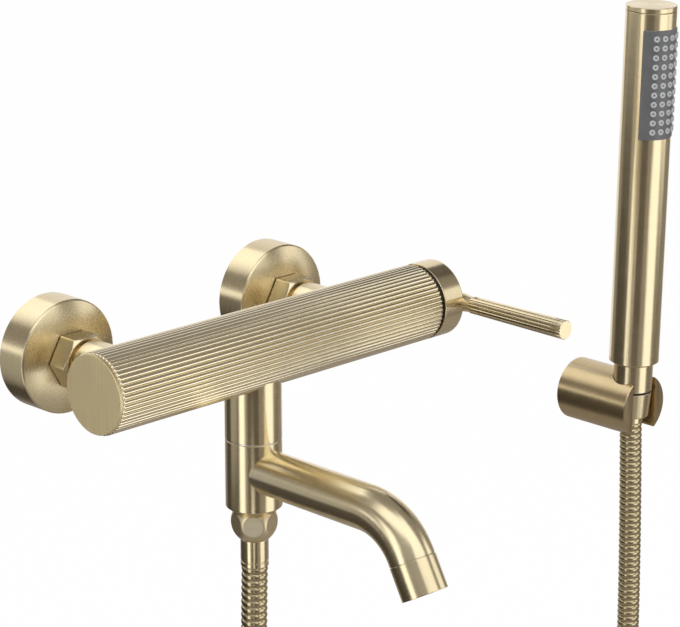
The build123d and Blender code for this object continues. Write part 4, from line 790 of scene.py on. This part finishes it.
# bottom, top, first and pitch are measured up the shower; half, middle and step are degrees round it
spray = {"bottom": 171.5, "top": 237.9, "outer": 15.95, "thick": 1.7, "half": 69.0, "middle": -88.0, "soft": 0.3,
         "softRadius": 16, "outerSteps": 60, "innerSteps": 30, "cornerSteps": 5, "sharp": 40.0}
nozzleSize = {"rows": 11, "columns": 5, "first": 176.4, "pitch": 5.65, "step": 19.5, "foot": 1.92, "proud": 0.7,
              "hole": 0.5, "holeDepth": 0.8, "around": 16, "sharp": 45.0}


def sprayStrip(name):
    # a closed crescent section, its corners rounded, carried up the shower and drawn in a little at both ends
    s = spray
    half, soft, softAngle = radians(s["half"]), s["soft"], s["soft"] / s["softRadius"]
    inner = s["outer"] - s["thick"]

    def section(inset):
        # rows of radius and angle: one rounded corner, the outer arc, the other corner, the inner arc
        outer, reach = s["outer"] - inset, half - inset / s["softRadius"]
        edge = reach - softAngle
        t = np.linspace(0, pi / 2, s["cornerSteps"])
        first = np.stack([outer - soft + soft * np.sin(t), -edge - softAngle * np.cos(t)])
        outerArc = np.stack([np.full(s["outerSteps"], outer), np.linspace(-edge, edge, s["outerSteps"])])
        last = np.stack([outer - soft + soft * np.cos(t), edge + softAngle * np.sin(t)])
        innerArc = np.stack([np.full(s["innerSteps"], inner), np.linspace(reach, -reach, s["innerSteps"])])
        return np.concatenate([first, outerArc, last, innerArc], 1)

    # how far from an end, and how far the section is drawn in there
    ends = [(0, soft), (0.09, 0.09), (0.3, 0), (0.7, 0)]
    heights = [(s["bottom"] + up, inset) for up, inset in ends]
    heights += [(s["top"] - down, inset) for down, inset in reversed(ends)]
    rows = [section(inset) for _, inset in heights]
    closed = np.stack([np.full(rows[0].shape[1], inner), rows[0][1]])
    radius, turn = np.stack([closed, *rows, closed], 1)
    along = np.repeat(ended(np.array([height for height, _ in heights]))[:, None], radius.shape[1], 1)
    return meshPiece(name, placed(along, radius, turn + radians(s["middle"]), showerPlace), sharp=s["sharp"])


def sprayNozzles(name):
    # a small turned nozzle with a sunk hole: its point = foot + outward * along + circle * radius, set out on
    # every row and column of the pattern at once
    s, n = spray, nozzleSize
    floor = s["outer"] - s["thick"]
    lift = s["outer"] + n["proud"] - floor
    holeFloor = lift - n["holeDepth"]
    profile = softProfile([(0, 0), (0, n["foot"], 0), (lift - 0.25, n["foot"] - 0.06, 0),
                           (lift - 0.07, n["foot"] - 0.14, 0), (lift, n["foot"] - 0.34, 0), (lift - 0.02, 0.72, 0),
                           (lift - 0.12, 0.58, 0), (holeFloor, n["hole"], 0), (holeFloor, 0, 0)])
    ring = fullTurn(n["around"])[:, None]
    origin, axis, side = (np.array(p, float) for p in showerPlace)
    turn = radians(s["middle"]) + np.radians((np.arange(n["columns"]) - (n["columns"] - 1) / 2) * n["step"])[:, None]
    outward = side * np.cos(turn) + np.cross(axis, side) * np.sin(turn)
    height = (n["first"] + np.arange(n["rows"]) * n["pitch"])[:, None, None]
    foot = origin + axis * height + outward * floor
    circle = axis * np.cos(ring) + np.cross(outward, axis)[:, None] * np.sin(ring)
    along, radius = profile.T[..., None, None]
    points = foot[:, :, None, None] + outward[:, None, None] * along + circle[:, None] * radius
    rows, columns = points.shape[2:4]
    faces = gridFaces(rows, columns)[0] + np.arange(n["rows"] * n["columns"])[:, None, None] * rows * columns
    mesh = bpy.data.meshes.new(name)
    mesh.from_pydata((points.reshape(-1, 3) * mm).tolist(), [], faces.reshape(-1, 4).tolist())
    return finishMesh(name, mesh, n["sharp"])


fit(sprayStrip("sprayStrip"), "hand_shower", "spray_plate", "greyPlastic", "grey_plastic")
fit(sprayNozzles("sprayNozzles"), "hand_shower", "nozzle_mat", "nozzleRubber", "nozzle_rubber")
print("spray made")

# The stage: a pale floor, soft lamps, and panels that are only seen mirrored in the metal. Azimuth 0 is toward
# the camera and 90 to its right, in degrees.
stageSize = {"centre": (0.16, -0.09, -0.05), "toward": (-0.7045, -0.7096, 0), "right": (0.7096, -0.7046, 0),
             "floor": -0.512, "floorReach": (0.0, 1.5, 3.0, 5.0, 8.0)}
stageCentre = np.array(stageSize["centre"])


def direction(azimuth, elevation):
    # (toward * cos(azimuth) + right * sin(azimuth)) * cos(elevation) + up * sin(elevation)
    a, e = np.radians(azimuth)[..., None], np.radians(elevation)[..., None]
    level = np.array(stageSize["toward"]) * np.cos(a) + np.array(stageSize["right"]) * np.sin(a)
    return level * np.cos(e) + np.array([0, 0, 1]) * np.sin(e)


def seenPlainly(tree):
    # 1 for the camera, and in gloss and through glass
    rays = add(tree, "LightPath")
    seen = rays.outputs["Is Camera Ray"]
    for label in ("Is Glossy Ray", "Is Transmission Ray"):
        seen = add(tree, "Math", {"operation": "MAXIMUM"}, links={0: seen, 1: rays.outputs[label]}).outputs[0]
    return seen


def makeFloor():
    # a pale disc that the camera sees as the photograph's white, with part of the shadow kept
    radius, angle = np.array(stageSize["floorReach"])[:, None], fullTurn(96)
    x, y = stageCentre[0] + radius * np.cos(angle), stageCentre[1] + radius * np.sin(angle)
    floor = meshPiece("floor", np.stack([x, y, np.full(x.shape, stageSize["floor"])], -1) / mm)
    material, tree, shader = newFinish("paleFloor")
    shader.inputs["Base Color"].default_value = (0.86, 0.855, 0.84, 1)
    shader.inputs["Roughness"].default_value = 0.9
    share = add(tree, "Math", {"operation": "MULTIPLY"}, {1: 0.985}, {0: seenPlainly(tree)})
    white = add(tree, "Emission", values={"Color": (1, 1, 1, 1), "Strength": 1.0})
    blend = add(tree, "MixShader", links={0: share.outputs[0], 1: shader.outputs[0], 2: white.outputs[0]})
    tree.links.new(blend.outputs[0], tree.nodes["Material Output"].inputs["Surface"])
    floor.data.materials.append(material)


def onlyMirrored(name, points, level, tint):
    # a glowing sheet that nothing but reflections can see
    sheet = meshPiece(name, points, rings=False)
    material, tree, shader = newFinish(name)
    shader.inputs["Base Color"].default_value = (0, 0, 0, 1)
    shader.inputs["Roughness"].default_value = 0.9
    shader.inputs["Specular IOR Level"].default_value = 0.0
    shader.inputs["Emission Color"].default_value = (*tint, 1)
    shader.inputs["Emission Strength"].default_value = level
    sheet.data.materials.append(material)
    for ray in ("camera", "diffuse", "transmission", "volume_scatter", "shadow"):
        setattr(sheet, "visible_" + ray, False)


def reflectedPanel(name, azimuths, elevations, level, distance, tint=(1.0, 1.0, 1.0)):
    # part of a ball round the object
    azimuth, elevation = np.meshgrid(np.linspace(*azimuths, 25), np.linspace(*elevations, 13))
    onlyMirrored(name, (stageCentre + direction(azimuth, elevation) * distance) / mm, level, tint)


def floorPatch(name, azimuths, reach, level, lift, tint=(1.0, 1.0, 1.0)):
    # part of a ring on the floor, raised a little off it
    azimuth, radius = np.meshgrid(np.linspace(*azimuths, 33), np.linspace(*reach, 4))
    points = stageCentre + direction(azimuth, 0 * azimuth) * radius[..., None]
    points[..., 2] = stageSize["floor"] + lift
    onlyMirrored(name, points / mm, level, tint)


def mirroredCard(name, flat, normal, distance, halfSizes, level):
    # a small card that one flat face mirrors to the camera: the line of sight is reflected in the face's
    # middle, sight - 2 * (sight . normal) * normal, and the card stands square to it
    sight = np.array(flat) - np.array(cameraView["place"]) / mm
    sight /= np.linalg.norm(sight)
    normal = np.array(normal) / np.linalg.norm(normal)
    toward = sight - 2 * (sight @ normal) * normal
    side = np.cross(toward, (0, 0, 1.0))
    side /= np.linalg.norm(side)
    across, up = np.meshgrid(*(np.linspace(-half, half, 5) for half in halfSizes))
    points = np.array(flat) + toward * distance + side * across[..., None] + np.cross(toward, side) * up[..., None]
    onlyMirrored(name, points, level, (1.0, 0.98, 0.94))


def softLamp(name, azimuth, elevation, size, power, colour=(1, 1, 1), distance=1.9):
    data = bpy.data.lights.new(name, "AREA")
    data.shape = "RECTANGLE"
    data.size, data.size_y = size
    data.energy = power
    data.color = colour
    lamp = bpy.data.objects.new(name, data)
    centre = Vector(stageSize["centre"])
    lamp.location = centre + Vector(direction(azimuth, elevation)) * distance
    lamp.rotation_euler = (centre - lamp.location).to_track_quat("-Z", "Y").to_euler()
    lamp.visible_glossy = False
    bpy.context.collection.objects.link(lamp)


makeFloor()
# name, azimuths, elevations, brightness, distance, tint
panels = [
    ("panelRoom", (-180, 180), (-21, 90), 0.27, 1.34, (1.0, 0.94, 0.89)),
    ("panelBack", (148, 212), (-21, 46), 1.0, 1.31, (1.0, 0.98, 0.98)),
    ("panelLeftLow", (-122, -58), (-22, -2), 0.06, 1.30, (1.0, 0.86, 0.74)),
    ("panelLeftBand", (-128, -62), (0, 9), 1.35, 1.30),
    ("panelLeftStrip", (-55, -36), (-22, 22), 1.7, 1.28),
    ("panelFront", (-25, 16), (-22, 1), 0.09, 1.28, (1.0, 0.84, 0.7)),
    ("panelFrontHigh", (-34, 11), (3, 34), 0.42, 1.29),
    ("panelFrontRight", (12, 66), (14, 40), 1.35, 1.28),
    ("panelFrontTop", (-60, 62), (36, 72), 1.4, 1.27),
    ("panelRightStrip", (42, 82), (-22, 5), 1.5, 1.28),
    ("panelRightLow", (88, 118), (-22, -11), 0.16, 1.27, (1.0, 0.88, 0.78)),
    ("panelRightBox", (84, 107), (-10, 27), 1.27, 1.28),
    ("panelTopLeft", (-150, -101), (28, 58), 1.6, 1.28),
    ("panelTopRight", (120, 165), (33, 52), 0.05, 1.28, (1.0, 0.9, 0.8)),
]
# name, azimuths, distances, brightness, height, tint
patches = [
    ("matMiddle", (-180, 180), (0.0, 1.34), 0.34, 0.002, (1.0, 0.93, 0.89)),
    ("matLeftLow", (-130, -56), (0.4, 1.31), 0.06, 0.003, (1.0, 0.86, 0.74)),
    ("matLeftStrip", (-55, -36), (0.75, 1.30), 1.7, 0.003),
    ("matFront", (-25, 16), (0.75, 1.30), 0.09, 0.003, (1.0, 0.82, 0.68)),
    ("matRightStrip", (42, 82), (0.75, 1.30), 1.5, 0.003),
    ("matRightLow", (88, 118), (0.75, 1.30), 0.16, 0.003, (1.0, 0.86, 0.74)),
]
for panel in panels:
    reflectedPanel(*panel)
for patch in patches:
    floorPatch(*patch)
# name, middle and direction of the flat face in millimetres, distance, half width and height, brightness
mirroredCard("leverCard", (139.5, -166.3, 0), (0, -1, 0), 200, (22, 22), 1.7)
mirroredCard("nutCard", (-7.8, -82.8, -95.5), (-1, -1, 0), 270, (27, 28), 1.6)
mirroredCard("discCard", (-106.5, -75, 0), (-1, 0, 0), 250, (90, 90), 0.42)
softLamp("lampLeft", -50, 35, (0.8, 0.8), 6.0, (1.0, 0.98, 0.95))
softLamp("lampRight", 62, 40, (0.8, 0.8), 7.0, (1.0, 0.98, 0.95))
softLamp("lampTop", 20, 75, (1.4, 1.4), 10.0)

world = bpy.data.worlds.new("studio")
bpy.context.scene.world = world
world.use_nodes = True
tree = world.node_tree
sky = tree.nodes["Background"]
level = add(tree, "MapRange", values={"To Min": 0.55, "To Max": 1.0}, links={"Value": seenPlainly(tree)})
tree.links.new(level.outputs[0], sky.inputs["Strength"])
sky.inputs["Color"].default_value = (1, 1, 1, 1)
print("stage set")
